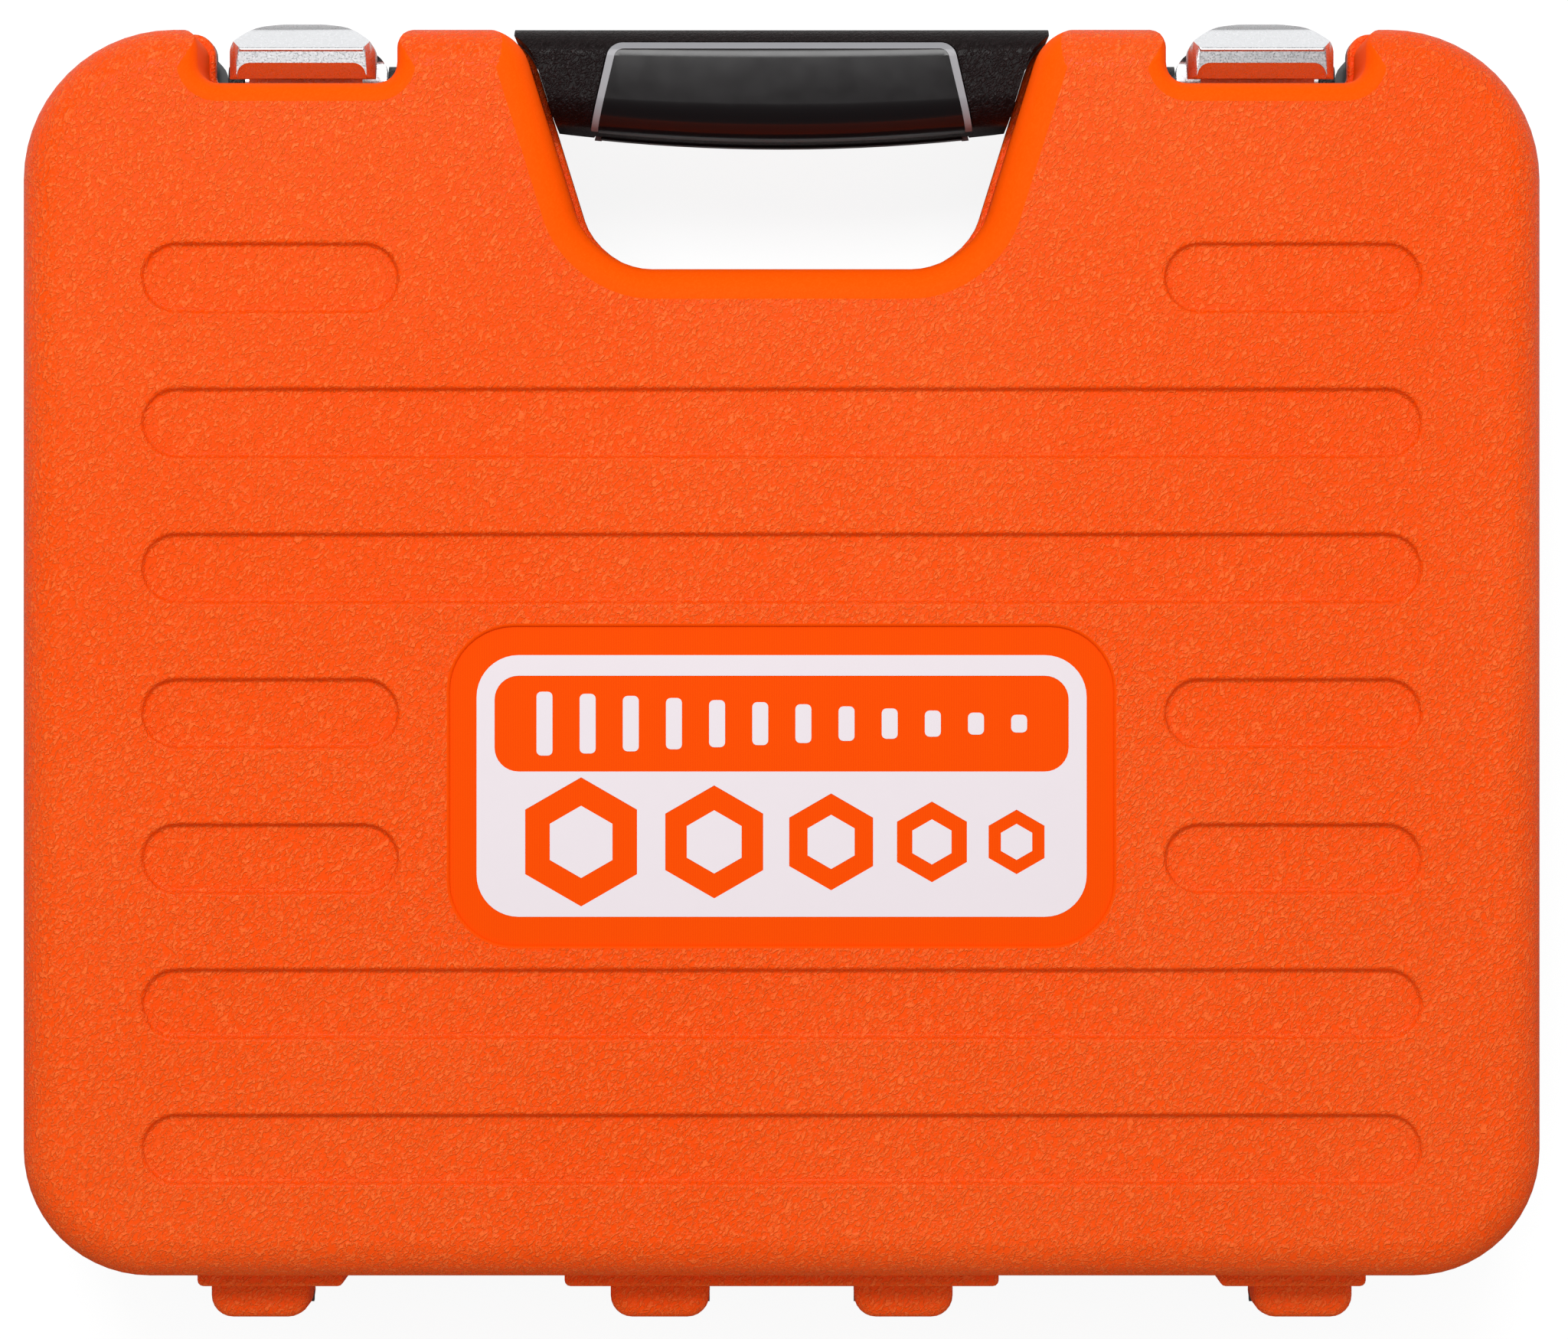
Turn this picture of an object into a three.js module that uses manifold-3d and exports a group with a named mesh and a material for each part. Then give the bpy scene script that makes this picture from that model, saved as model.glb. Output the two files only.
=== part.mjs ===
// Socket wrench set in a two-part carrying case, lying on its back with the lid up.
// Millimetres. X runs along the case's width, +Y towards the carry handle, +Z out of the lid's face.
// The origin is under the middle of the closed case, on the surface that it lies on.

import * as THREE from 'three';
import { mergeVertices } from 'three/addons/utils/BufferGeometryUtils.js';
import Module from 'manifold-3d';

const wasm = await Module();
wasm.setup();

// ---- Driving dimensions: case ------------------------------------------------

const CASE_WIDTH = 382;
const CASE_HEIGHT = 314;
const BASE_DEPTH = 48;
const LID_DEPTH = 36;
const WALL = 3;
const TOP_CORNER = 38;
const BOTTOM_CORNER = 32;
const FACE_ROUND = 10;
const RIM_PROUD = 1.5;
const RIM_HEIGHT = 4;
const PARTING_GAP = 0.3;

// The case's sides seen from its middle, and its whole depth.
const SIDE_X = CASE_WIDTH / 2;
const TOP_Y = CASE_HEIGHT / 2;
const BOTTOM_Y = -TOP_Y;
const TOTAL_DEPTH = BASE_DEPTH + LID_DEPTH;

const SEAT_GAP = 0.3;
const LINER_GAP = 0.4;

// Stiffening grooves, in rows between the top and the bottom side.
const GROOVE_ROWS = 7;
const GROOVE_FIRST_Y = TOP_Y - 63.2;
const GROOVE_LAST_Y = BOTTOM_Y + 32.7;
const GROOVE_PITCH = (GROOVE_FIRST_Y - GROOVE_LAST_Y) / (GROOVE_ROWS - 1);
const GROOVE_WIDTH = 18;
const GROOVE_SPAN = CASE_WIDTH - 2 * 30.5;
const GROOVE_SHORT = 65;
const GROOVE_DEPTH = 2;
const GROOVE_DRAFT = 1.2;
const SHORT_ROWS_LID = [0, 3, 4];
const SHORT_ROWS_BASE = [0];

const PANEL_WIDTH = 166;
const PANEL_HEIGHT = 79.7;
const PANEL_CORNER = 16;
const PANEL_DEPTH = 0.8;
const PANEL_Y = GROOVE_FIRST_Y - 3.5 * GROOVE_PITCH;

// Finger gap behind the carry handle.
const GAP_FLOOR = 60.5;
const GAP_FLOOR_Y = TOP_Y - GAP_FLOOR;
const GAP_FLOOR_HALF = 47.6;
const GAP_MOUTH_HALF = 66.4;
const GAP_FLOOR_CORNER = 20;
const GAP_MOUTH_CORNER = 12;
const GAP_ROUND = 8;

// Latches and their recesses.
const LATCH_WIDTH = 37;
const LATCH_EAR = 4;
const LATCH_SIDE_GAP = 0.4;
const EAR_SIDE_GAP = 2.1;
const RECESS_WIDTH = LATCH_WIDTH + 2 * (LATCH_SIDE_GAP + LATCH_EAR + EAR_SIDE_GAP);
const RECESS_DEPTH = 14;
const RECESS_FLOOR_Y = TOP_Y - RECESS_DEPTH;
const RECESS_MOUTH_CORNER = 4;
const RECESS_CORNER_GAP = 2.5;
const LATCH_X = SIDE_X - TOP_CORNER - RECESS_CORNER_GAP - RECESS_MOUTH_CORNER - RECESS_WIDTH / 2;
const RECESS_FLOOR_CORNER = 5;
const RECESS_CHAMFER = 2;
const LATCH_PLATE = 3.2;
const LATCH_PIVOT_Z = BASE_DEPTH - 25.8;
const LATCH_PIVOT_Y = RECESS_FLOOR_Y + 6.7;
const LATCH_CROWN_Y = TOP_Y + 4;
const LATCH_LIP_Y = RECESS_FLOOR_Y + 2.6;
const LATCH_LIP_Z = BASE_DEPTH + 22;
const LATCH_BARREL = 3.7;
const LATCH_TOP_CORNER = 7;
const CATCH_RIB = 2.4;
const CATCH_CLEARANCE = 0.5;

// Hinge along the bottom side.
const OUTER_KNUCKLE_X = SIDE_X - 58.5;
const INNER_KNUCKLE_X = 31;
const KNUCKLE_X = [-OUTER_KNUCKLE_X, -INNER_KNUCKLE_X, INNER_KNUCKLE_X, OUTER_KNUCKLE_X];
const KNUCKLE_WIDTH = 25;
const KNUCKLE_BARREL = 3.9;
const KNUCKLE_CORNER = 6.5;
const KNUCKLE_ARM_TOP = 16;
const BASE_BARREL_WIDTH = 12;
const PAD_PROUD = 2;
const PAD_HEIGHT = 20;
const KNUCKLE_PAD_GAP = 0.6;
const OUTER_PAD = [OUTER_KNUCKLE_X - 21.5, OUTER_KNUCKLE_X + 15.5];
const INNER_PAD_HALF = INNER_KNUCKLE_X + 24;
const PAD_SPANS = [
  [-OUTER_PAD[1], -OUTER_PAD[0]],
  [-INNER_PAD_HALF, INNER_PAD_HALF],
  OUTER_PAD,
];
const PAD_CORNER = 3;

const PIN_RADIUS = 1.5;
const PIN_CLEARANCE = 0.25;

// Carry handle.
const GRIP_DEPTH = 40;
const GRIP_HEIGHT = 27.5;
const GRIP_ROUND = 8;
const GRIP_SIDE_GAP = 0.8;
const GRIP_SAG = 3;
const GRIP_PIN_RADIUS = 2;
const GRIP_PIN_Z = BASE_DEPTH - 14;
const GRIP_PIN_Y = TOP_Y - 16;
const GRIP_PIN_LENGTH = 11.6;
const GRIP_PIN_END_GAP = 0.8;
const INSERT_TOP_HALF = 43.5;
const INSERT_BOTTOM_HALF = 47.5;
const INSERT_TOP_GAP = 4;
const INSERT_HEIGHT = 17.5;
const INSERT_THICK = 2.2;
const INSERT_RECESS = 1.4;
const INSERT_CORNER = 4;

// Inner walls: the tool tray in the base and the liner in the lid.
const TRAY_LAND_Z = BASE_DEPTH - 12;
const TRAY_PLATE = 2.2;
const TRAY_EDGE = 1.8;
const TRAY_EDGE_TOP = BASE_DEPTH - 1.5;
const CUP_WALL = 1.8;
const CUP_FLOOR = 2;
const DEEP_FLOOR_Z = WALL + SEAT_GAP + CUP_FLOOR;
const NEST_CLEARANCE = 1;
const LINER_Z = BASE_DEPTH + 6;
const LINER_PLATE = 2.4;

// ---- Driving dimensions: tools -----------------------------------------------

// Where the tools start and end beside the case's sides, and their rows above its bottom side.
const LEFT_X = -SIDE_X + WALL + FACE_ROUND;
const RIGHT_X = SIDE_X - WALL - FACE_ROUND - 6;
const FIRST_ROW_Y = BOTTOM_Y + 26;
const SECOND_ROW_Y = BOTTOM_Y + 68;
const THIRD_ROW_Y = BOTTOM_Y + 115;
const FOURTH_ROW_Y = BOTTOM_Y + 157;
const FIFTH_ROW_Y = BOTTOM_Y + 193;
const SIXTH_ROW_Y = BOTTOM_Y + 225;

const HALF_DRIVE = 12.7;
const QUARTER_DRIVE = 6.35;
const HEX_PLAY = 0.3;

const HALF_SOCKETS = [
  { size: 32, outer: 43, length: 44 },
  { size: 30, outer: 41, length: 43 },
  { size: 27, outer: 37, length: 42 },
  { size: 24, outer: 33, length: 41 },
  { size: 22, outer: 30, length: 40 },
  { size: 19, outer: 26, length: 39 },
  { size: 17, outer: 24, length: 38 },
  { size: 15, outer: 22, length: 38 },
  { size: 14, outer: 22, length: 38 },
  { size: 13, outer: 22, length: 38 },
  { size: 12, outer: 22, length: 38 },
  { size: 10, outer: 22, length: 38 },
];
const HALF_ROW_COUNT = 9;
const HALF_SOCKET_SPACE = 9;
const BESIDE_SOCKETS = 8;

const QUARTER_SOCKETS = [
  { size: 13, outer: 18, length: 25 },
  { size: 12, outer: 16.8, length: 25 },
  { size: 11, outer: 15.5, length: 25 },
  { size: 10, outer: 14, length: 25 },
  { size: 9, outer: 13, length: 25 },
  { size: 8, outer: 11.8, length: 25 },
  { size: 7, outer: 11.8, length: 25 },
  { size: 6, outer: 11.8, length: 25 },
];
const QUARTER_FLOOR_Z = TRAY_LAND_Z - 16.5;
const QUARTER_SOCKET_SPACE = 6.2;

// A socket's drive end, as the radius for a drive of one millimetre.
const DRIVE_END = 0.86;

const HALF_RATCHET = {
  name: 'ratchet_half', x: RIGHT_X - 24, y: SECOND_ROW_Y, z: TRAY_LAND_Z - 1,
  drive: HALF_DRIVE, driveLength: 15,
  headRadius: 21, headHeight: 22, reach: 234, gripLength: 125, gripRadius: 15,
  shankWidth: 15, shankHeight: 11, hubRadius: 11, coverRadius: 16, coverThick: 1.4,
  leverRadius: 9.5, leverThick: 3, leverReach: 17, leverWidth: 8, buttonRadius: 3.4,
};
const QUARTER_RATCHET = {
  name: 'ratchet_quarter', x: LEFT_X + 16, y: FIFTH_ROW_Y, z: TRAY_LAND_Z + 1.5,
  drive: QUARTER_DRIVE, driveLength: 8,
  headRadius: 12.5, headHeight: 13, reach: 134, gripLength: 76, gripRadius: 10.5,
  shankWidth: 9, shankHeight: 7, hubRadius: 6, coverRadius: 9.2, coverThick: 1,
  leverRadius: 5.8, leverThick: 2.2, leverReach: 10.5, leverWidth: 5, buttonRadius: 2,
};

const LONG_EXTENSION_X = LEFT_X + 6;
const SHORT_ROW_LENGTH = rowLength(HALF_SOCKETS.slice(HALF_ROW_COUNT), HALF_DRIVE, HALF_SOCKET_SPACE);
const SHORT_EXTENSION_X = LEFT_X + SHORT_ROW_LENGTH + BESIDE_SOCKETS;
const HALF_EXTENSIONS = [
  { name: 'extension_half_long', x: LONG_EXTENSION_X, y: FIRST_ROW_Y, length: 250, drive: HALF_DRIVE },
  { name: 'extension_half_short', x: SHORT_EXTENSION_X, y: FOURTH_ROW_Y, length: 125, drive: HALF_DRIVE },
];
const QUARTER_EXTENSIONS = [
  { name: 'extension_quarter_long', x: 2, y: FIFTH_ROW_Y, length: 100, drive: QUARTER_DRIVE },
  { name: 'extension_quarter_short', x: 118, y: FIFTH_ROW_Y, length: 50, drive: QUARTER_DRIVE },
];

const HALF_AXIS_Z = TRAY_LAND_Z - 6;
const QUARTER_AXIS_Z = TRAY_LAND_Z - 1;

const UNIVERSAL_JOINT = {
  x: RIGHT_X - 48, y: FIRST_ROW_Y, radius: 12.3, reach: 36,
  crossHalf: 5.5, earInner: 6.3, earOuter: 11.3, trunnion: 3,
};
const PLUG_SOCKET = { x: LEFT_X, y: SECOND_ROW_Y, length: 66, outer: 26, size: 21 };
const SPINNER = {
  x: 0, y: GAP_FLOOR_Y - 25.5, z: TRAY_LAND_Z - 3,
  length: 145, gripLength: 88, gripRadius: 13.5, shaftRadius: 3.6,
};
const BIT_BLOCK = { x: LEFT_X + 47, y: TOP_Y - 44, width: 90, height: 30, depth: 14, rows: 2, columns: 6 };
const BIT_BLOCK_FLOOR_Z = TRAY_LAND_Z - 12;
const BIT_FLATS = 6.35;
const BIT_STAND = 11;
const SPARE_NEST = {
  x: RIGHT_X - 42, y: TOP_Y - TOP_CORNER - 7, width: 96, height: 40, corner: 6, floor: DEEP_FLOOR_Z,
};
const SMALL_NEST = {
  x: RIGHT_X - 54, y: FOURTH_ROW_Y, width: 112, height: 22, corner: 6, floor: TRAY_LAND_Z - 22,
};
// Hollows that let a finger lift the tool lying across them.
const SCOOPS = [
  { x: LONG_EXTENSION_X + 112, y: FIRST_ROW_Y, width: 30, height: 32, corner: 9, floor: TRAY_LAND_Z - 20 },
  { x: HALF_RATCHET.x - 63, y: SECOND_ROW_Y, width: 30, height: 40, corner: 9, floor: TRAY_LAND_Z - 16 },
  { x: QUARTER_RATCHET.x + 76, y: FIFTH_ROW_Y, width: 22, height: 28, corner: 9, floor: TRAY_LAND_Z - 9 },
];

// ---- Derived positions ---------------------------------------------------------

const PAD_Y = BOTTOM_Y - RIM_PROUD - PAD_PROUD;
const HINGE_Y = PAD_Y - KNUCKLE_PAD_GAP - KNUCKLE_BARREL;
const HINGE_FOOT_Y = HINGE_Y - KNUCKLE_BARREL;
const CENTRE_SHIFT_Y = -(HINGE_FOOT_Y + LATCH_CROWN_Y) / 2;

// How far a rounded corner's flats may stray from its arc.
const FINE = 0.3;
const COARSE = 0.5;
const ROUGH = 0.7;

// ---- Shape helpers ---------------------------------------------------------------

/** A closed geometry as a solid that can be joined and cut. */
function solidOf(geometry) {
  geometry.deleteAttribute('normal');
  geometry.deleteAttribute('uv');
  const merged = mergeVertices(geometry, 1e-4);
  const triangles = [];
  for (let i = 0; i < merged.index.count; i += 3) {
    const [a, b, c] = [0, 1, 2].map((k) => merged.index.getX(i + k));
    if (a !== b && b !== c && a !== c) triangles.push(a, b, c);
  }
  return new wasm.Manifold(new wasm.Mesh({
    numProp: 3,
    vertProperties: Float32Array.from(merged.attributes.position.array),
    triVerts: Uint32Array.from(triangles),
  }));
}

/** A finished solid as a geometry for a mesh. */
function geometryOf(solid) {
  const { vertProperties, triVerts } = solid.getMesh();
  const geometry = new THREE.BufferGeometry();
  geometry.setAttribute('position', new THREE.BufferAttribute(vertProperties, 3));
  geometry.setIndex(new THREE.BufferAttribute(triVerts, 1));
  geometry.computeVertexNormals();
  return geometry;
}

/**
 * Points around a polygon whose corners [x, y, radius] are rounded, anticlockwise.
 * A positive inset moves every side inwards, and a negative one outwards.
 */
function loop(corners, inset = 0, tolerance = FINE) {
  const count = corners.length;
  const sides = corners.map(([x, y], i) => {
    const [nextX, nextY] = corners[(i + 1) % count];
    const direction = new THREE.Vector2(nextX - x, nextY - y).normalize();
    const start = new THREE.Vector2(x - direction.y * inset, y + direction.x * inset);
    return { start, direction };
  });
  const points = [];
  for (let i = 0; i < count; i += 1) {
    const before = sides[(i + count - 1) % count];
    const after = sides[i];
    const turn = Math.atan2(before.direction.cross(after.direction), before.direction.dot(after.direction));
    const reach = after.start.clone().sub(before.start).cross(after.direction)
      / before.direction.cross(after.direction);
    const corner = before.start.clone().addScaledVector(before.direction, reach);
    const radius = Math.max(corners[i][2] - Math.sign(turn) * inset, 0);
    const tangent = radius * Math.tan(Math.abs(turn) / 2);
    const first = corner.clone().addScaledVector(before.direction, -tangent);
    const middle = first.clone().add(
      new THREE.Vector2(-before.direction.y, before.direction.x).multiplyScalar(radius * Math.sign(turn)),
    );
    const step = radius > tolerance ? 2 * Math.acos(1 - tolerance / radius) : Math.PI;
    const fewest = tolerance > FINE ? 1 : 2;
    const steps = radius > 0 ? Math.max(fewest, Math.ceil(Math.abs(turn) / step)) : 0;
    for (let k = 0; k <= steps; k += 1) {
      const angle = steps ? (turn * k) / steps : 0;
      const point = first.clone().rotateAround(middle, angle);
      const last = points[points.length - 1];
      if (!last || last.distanceTo(point) > 0.01) points.push(point);
    }
  }
  if (points[0].distanceTo(points[points.length - 1]) <= 0.01) points.pop();
  return points;
}

/** Corners of a rectangle centred on x, y. */
function rectangle(x, y, width, height, radius) {
  const [w, h] = [width / 2, height / 2];
  return [[x - w, y - h, radius], [x + w, y - h, radius], [x + w, y + h, radius], [x - w, y + h, radius]];
}

/** Points extruded along Z from one height to another. */
function prism(points, fromZ, toZ) {
  const geometry = new THREE.ExtrudeGeometry(new THREE.Shape(points), {
    depth: toZ - fromZ,
    bevelEnabled: false,
  });
  return solidOf(geometry.translate(0, 0, fromZ));
}

/** An extrusion whose lower end narrows by spread between fromZ and fullZ. */
function flare(points, fromZ, fullZ, toZ, spread) {
  const geometry = new THREE.ExtrudeGeometry(new THREE.Shape(points), {
    depth: toZ - fullZ,
    bevelEnabled: true,
    bevelSegments: 1,
    bevelThickness: fullZ - fromZ,
    bevelSize: spread,
    bevelOffset: -spread,
  });
  return solidOf(geometry.translate(0, 0, fullZ));
}

/** An extrusion whose upper edge is rounded; it reaches well below z = 0. */
function domedPrism(points, topZ, round, segments) {
  const geometry = new THREE.ExtrudeGeometry(new THREE.Shape(points), {
    depth: topZ,
    bevelEnabled: true,
    bevelSegments: segments,
    bevelThickness: round,
    bevelSize: round,
    bevelOffset: -round,
  });
  return solidOf(geometry.translate(0, 0, -round));
}

/** A box between two corners. */
function box(x0, x1, y0, y1, z0, z1) {
  const geometry = new THREE.BoxGeometry(x1 - x0, y1 - y0, z1 - z0);
  return solidOf(geometry.translate((x0 + x1) / 2, (y0 + y1) / 2, (z0 + z1) / 2));
}

/** A round bar along Z between two heights. */
function barZ(x, y, radius, z0, z1, sides = 16) {
  const geometry = new THREE.CylinderGeometry(radius, radius, z1 - z0, sides);
  return solidOf(geometry.rotateX(Math.PI / 2).translate(x, y, (z0 + z1) / 2));
}

/** A round bar along X between two ends. */
function barX(x0, x1, y, z, radius, sides = 12) {
  const geometry = new THREE.CylinderGeometry(radius, radius, x1 - x0, sides);
  return solidOf(geometry.rotateZ(Math.PI / 2).translate((x0 + x1) / 2, y, z));
}

/** A round bar along Y between two ends. */
function barY(y0, y1, x, z, radius, sides = 12) {
  const geometry = new THREE.CylinderGeometry(radius, radius, y1 - y0, sides);
  return solidOf(geometry.translate(x, (y0 + y1) / 2, z));
}

/** A turned solid about Z from its [radius, z] outline, which starts and ends on the axis. */
function turned(outline, sides = 16) {
  const points = outline.map(([r, z]) => new THREE.Vector2(r, z));
  return solidOf(new THREE.LatheGeometry(points, sides).rotateX(Math.PI / 2));
}

/** A turned solid about X from its [radius, x] outline. */
function turnedX(outline, sides = 16) {
  const points = outline.map(([r, x]) => new THREE.Vector2(r, x));
  return solidOf(new THREE.LatheGeometry(points, sides).rotateZ(-Math.PI / 2));
}

/** A hexagonal bar along Z, measured across its flats. */
function hexZ(x, y, flats, z0, z1) {
  return barZ(x, y, flats / Math.sqrt(3), z0, z1, 6);
}

function joined(solids) {
  return solids.reduce((whole, piece) => whole.add(piece));
}

function cut(solid, cutters) {
  return cutters.reduce((rest, cutter) => rest.subtract(cutter), solid);
}

// ---- Finishes ----------------------------------------------------------------------

const FINISHES = {
  orange_plastic: { color: 0xf4561c, roughness: 0.5, metalness: 0 },
  dark_plastic: { color: 0x2b2c2f, roughness: 0.55, metalness: 0 },
  black_plastic: { color: 0x161617, roughness: 0.6, metalness: 0 },
  gloss_black: { color: 0x2a2a2d, roughness: 0.15, metalness: 0 },
  grip_plastic: { color: 0xe8521a, roughness: 0.5, metalness: 0 },
  steel: { color: 0xb4b5b8, roughness: 0.4, metalness: 1 },
  chrome: { color: 0xe6e6e8, roughness: 0.12, metalness: 1 },
};

function addMesh(parent, name, solid, finish, x = 0, y = 0, z = 0) {
  const mesh = new THREE.Mesh(geometryOf(solid), new THREE.MeshStandardMaterial(FINISHES[finish]));
  mesh.name = name;
  mesh.position.set(x, y, z);
  parent.add(mesh);
  return mesh;
}

const part = new THREE.Group();
part.position.y = CENTRE_SHIFT_Y;

// ---- Case outline -------------------------------------------------------------------

const gapCorners = [
  [-GAP_FLOOR_HALF, GAP_FLOOR_Y, GAP_FLOOR_CORNER],
  [GAP_FLOOR_HALF, GAP_FLOOR_Y, GAP_FLOOR_CORNER],
  [GAP_MOUTH_HALF, TOP_Y, GAP_MOUTH_CORNER],
  [-GAP_MOUTH_HALF, TOP_Y, GAP_MOUTH_CORNER],
];

/** Corners of the latch recess in order along the top side, from +X to -X. */
function recessCorners(x) {
  const half = RECESS_WIDTH / 2;
  return [
    [x + half, TOP_Y, RECESS_MOUTH_CORNER],
    [x + half, RECESS_FLOOR_Y, RECESS_FLOOR_CORNER],
    [x - half, RECESS_FLOOR_Y, RECESS_FLOOR_CORNER],
    [x - half, TOP_Y, RECESS_MOUTH_CORNER],
  ];
}

const plainCorners = [
  [-SIDE_X, BOTTOM_Y, BOTTOM_CORNER],
  [SIDE_X, BOTTOM_Y, BOTTOM_CORNER],
  [SIDE_X, TOP_Y, TOP_CORNER],
  [-SIDE_X, TOP_Y, TOP_CORNER],
];

const caseCorners = [
  plainCorners[0],
  plainCorners[1],
  plainCorners[2],
  ...recessCorners(LATCH_X),
  gapCorners[2],
  gapCorners[1],
  gapCorners[0],
  gapCorners[3],
  ...recessCorners(-LATCH_X),
  plainCorners[3],
];

/** Half the width of the finger gap at a height on the case. */
function gapHalfAt(y) {
  return GAP_FLOOR_HALF + ((GAP_MOUTH_HALF - GAP_FLOOR_HALF) * (y - GAP_FLOOR_Y)) / GAP_FLOOR;
}

/** The finger gap with its walls carried on past the top side. */
const beyondTop = TOP_Y + 40;
const openGapCorners = [
  gapCorners[0],
  gapCorners[1],
  [gapHalfAt(beyondTop), beyondTop, 0],
  [-gapHalfAt(beyondTop), beyondTop, 0],
];

// ---- Case halves ----------------------------------------------------------------------
// Each half is built with the parting plane at z = 0 and its face at z = depth.

/** The region outside the case outline, so that a solid cut by it follows the recesses and the gap. */
function surroundings(inset, fromZ, toZ) {
  const reach = SIDE_X * 2;
  return prism(loop(rectangle(0, 0, reach * 2, reach * 2, 0)), fromZ, toZ)
    .subtract(prism(loop(caseCorners, inset, inset > 0 ? COARSE : FINE), fromZ - 1, toZ + 1));
}

/** Rounds the face edge around the finger gap in steps of a quarter circle. */
function gapEdgeCutters(depth) {
  const steps = 3;
  const cutters = [];
  for (let k = 0; k < steps; k += 1) {
    const [a, b] = [k, k + 1].map((n) => (n / steps) * (Math.PI / 2));
    const [narrow, wide] = [a, b].map((angle) => GAP_ROUND * (1 - Math.cos(angle)));
    const [low, high] = [a, b].map((angle) => depth - GAP_ROUND * (1 - Math.sin(angle)));
    cutters.push(flare(loop(openGapCorners, -wide, COARSE), low, high, depth + 1, wide - narrow));
  }
  return cutters;
}

function grooveRow(row, short) {
  const y = GROOVE_FIRST_Y - row * GROOVE_PITCH;
  const radius = GROOVE_WIDTH / 2;
  if (!short) return [rectangle(0, y, GROOVE_SPAN, GROOVE_WIDTH, radius)];
  const x = (GROOVE_SPAN - GROOVE_SHORT) / 2;
  return [-x, x].map((centre) => rectangle(centre, y, GROOVE_SHORT, GROOVE_WIDTH, radius));
}

function caseHalf(depth, shortRows) {
  const open = PARTING_GAP / 2;
  const body = domedPrism(loop(plainCorners), depth, FACE_ROUND, 3);
  const hollow = domedPrism(loop(plainCorners, WALL, COARSE), depth - WALL, FACE_ROUND - WALL, 2);
  const below = surroundings(0, -2 * FACE_ROUND, depth + 1);
  const inner = surroundings(WALL, -2 * FACE_ROUND, depth + 1);
  const rim = prism(loop(caseCorners, -RIM_PROUD, COARSE), open, RIM_HEIGHT);
  const pads = PAD_SPANS.map(([x0, x1]) => {
    const centreY = (PAD_Y + BOTTOM_Y + WALL) / 2;
    const height = BOTTOM_Y + WALL - PAD_Y;
    const corners = rectangle((x0 + x1) / 2, centreY, x1 - x0, height, PAD_CORNER);
    return prism(loop(corners, 0, COARSE), open, PAD_HEIGHT);
  });
  const grooves = [];
  for (let row = 0; row < GROOVE_ROWS; row += 1) {
    for (const corners of grooveRow(row, shortRows.includes(row))) {
      grooves.push(flare(loop(corners, 0, ROUGH), depth - GROOVE_DEPTH, depth, depth + 1, GROOVE_DRAFT));
    }
  }
  const recessEdges = [-LATCH_X, LATCH_X].map((x) => {
    const mouth = recessCorners(x).reverse().map(([cornerX, cornerY, radius]) => (
      [cornerX, cornerY === TOP_Y ? beyondTop : cornerY, radius]
    ));
    return flare(loop(mouth, -RECESS_CHAMFER), depth - RECESS_CHAMFER, depth, depth + 1, RECESS_CHAMFER);
  });
  const outside = cut(body, [below, ...gapEdgeCutters(depth), ...recessEdges, ...grooves]);
  const cavity = hollow.subtract(inner).subtract(box(-SIDE_X, SIDE_X, BOTTOM_Y, TOP_Y, -2 * FACE_ROUND, -1));
  const whole = joined([outside, rim, ...pads]);
  const under = box(-2 * SIDE_X, 2 * SIDE_X, 2 * BOTTOM_Y, 2 * TOP_Y, -3 * FACE_ROUND, open);
  return cut(whole, [cavity, under]);
}

// ---- Hinge ------------------------------------------------------------------------------

const earWidth = (KNUCKLE_WIDTH - BASE_BARREL_WIDTH) / 2 - SEAT_GAP;
const anchorY = BOTTOM_Y + WALL / 2;

/** The lid's two ears and the arm that covers the barrel between them. */
function lidKnuckle(x) {
  const half = KNUCKLE_WIDTH / 2;
  const ears = [-1, 1].flatMap((side) => {
    const outer = x + side * half;
    const [x0, x1] = side < 0 ? [outer, outer + earWidth] : [outer - earWidth, outer];
    return [
      barX(x0, x1, HINGE_Y, 0, KNUCKLE_BARREL),
      box(x0, x1, HINGE_Y - KNUCKLE_BARREL * 0.98, PAD_Y + 1, PARTING_GAP / 2, KNUCKLE_ARM_TOP - 6),
    ];
  });
  const armY = (HINGE_FOOT_Y + anchorY) / 2;
  const arm = prism(
    loop(rectangle(x, armY, KNUCKLE_WIDTH, anchorY - HINGE_FOOT_Y, KNUCKLE_CORNER), 0, COARSE),
    KNUCKLE_BARREL + 0.7,
    KNUCKLE_ARM_TOP,
  );
  return joined([...ears, arm]);
}

/** The base's barrel and the web that joins it to the base's bottom side, parting plane at z = 0. */
function baseBarrel(x) {
  const [x0, x1] = [x - BASE_BARREL_WIDTH / 2, x + BASE_BARREL_WIDTH / 2];
  return joined([
    barX(x0, x1, HINGE_Y, 0, KNUCKLE_BARREL),
    box(x0, x1, HINGE_Y, PAD_Y + 1, PARTING_GAP / 2, KNUCKLE_BARREL),
  ]);
}

const hingeBore = barX(-SIDE_X, SIDE_X, HINGE_Y, 0, PIN_RADIUS + PIN_CLEARANCE, 8);

// ---- Lid -------------------------------------------------------------------------------------

const panel = flare(
  loop(rectangle(0, PANEL_Y, PANEL_WIDTH, PANEL_HEIGHT, PANEL_CORNER)),
  LID_DEPTH - PANEL_DEPTH,
  LID_DEPTH,
  LID_DEPTH + 1,
  PANEL_DEPTH,
);
const lidShell = joined([caseHalf(LID_DEPTH, SHORT_ROWS_LID), ...KNUCKLE_X.map(lidKnuckle)]);
addMesh(part, 'lid_shell', cut(lidShell, [panel, hingeBore]), 'orange_plastic', 0, 0, BASE_DEPTH);

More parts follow.
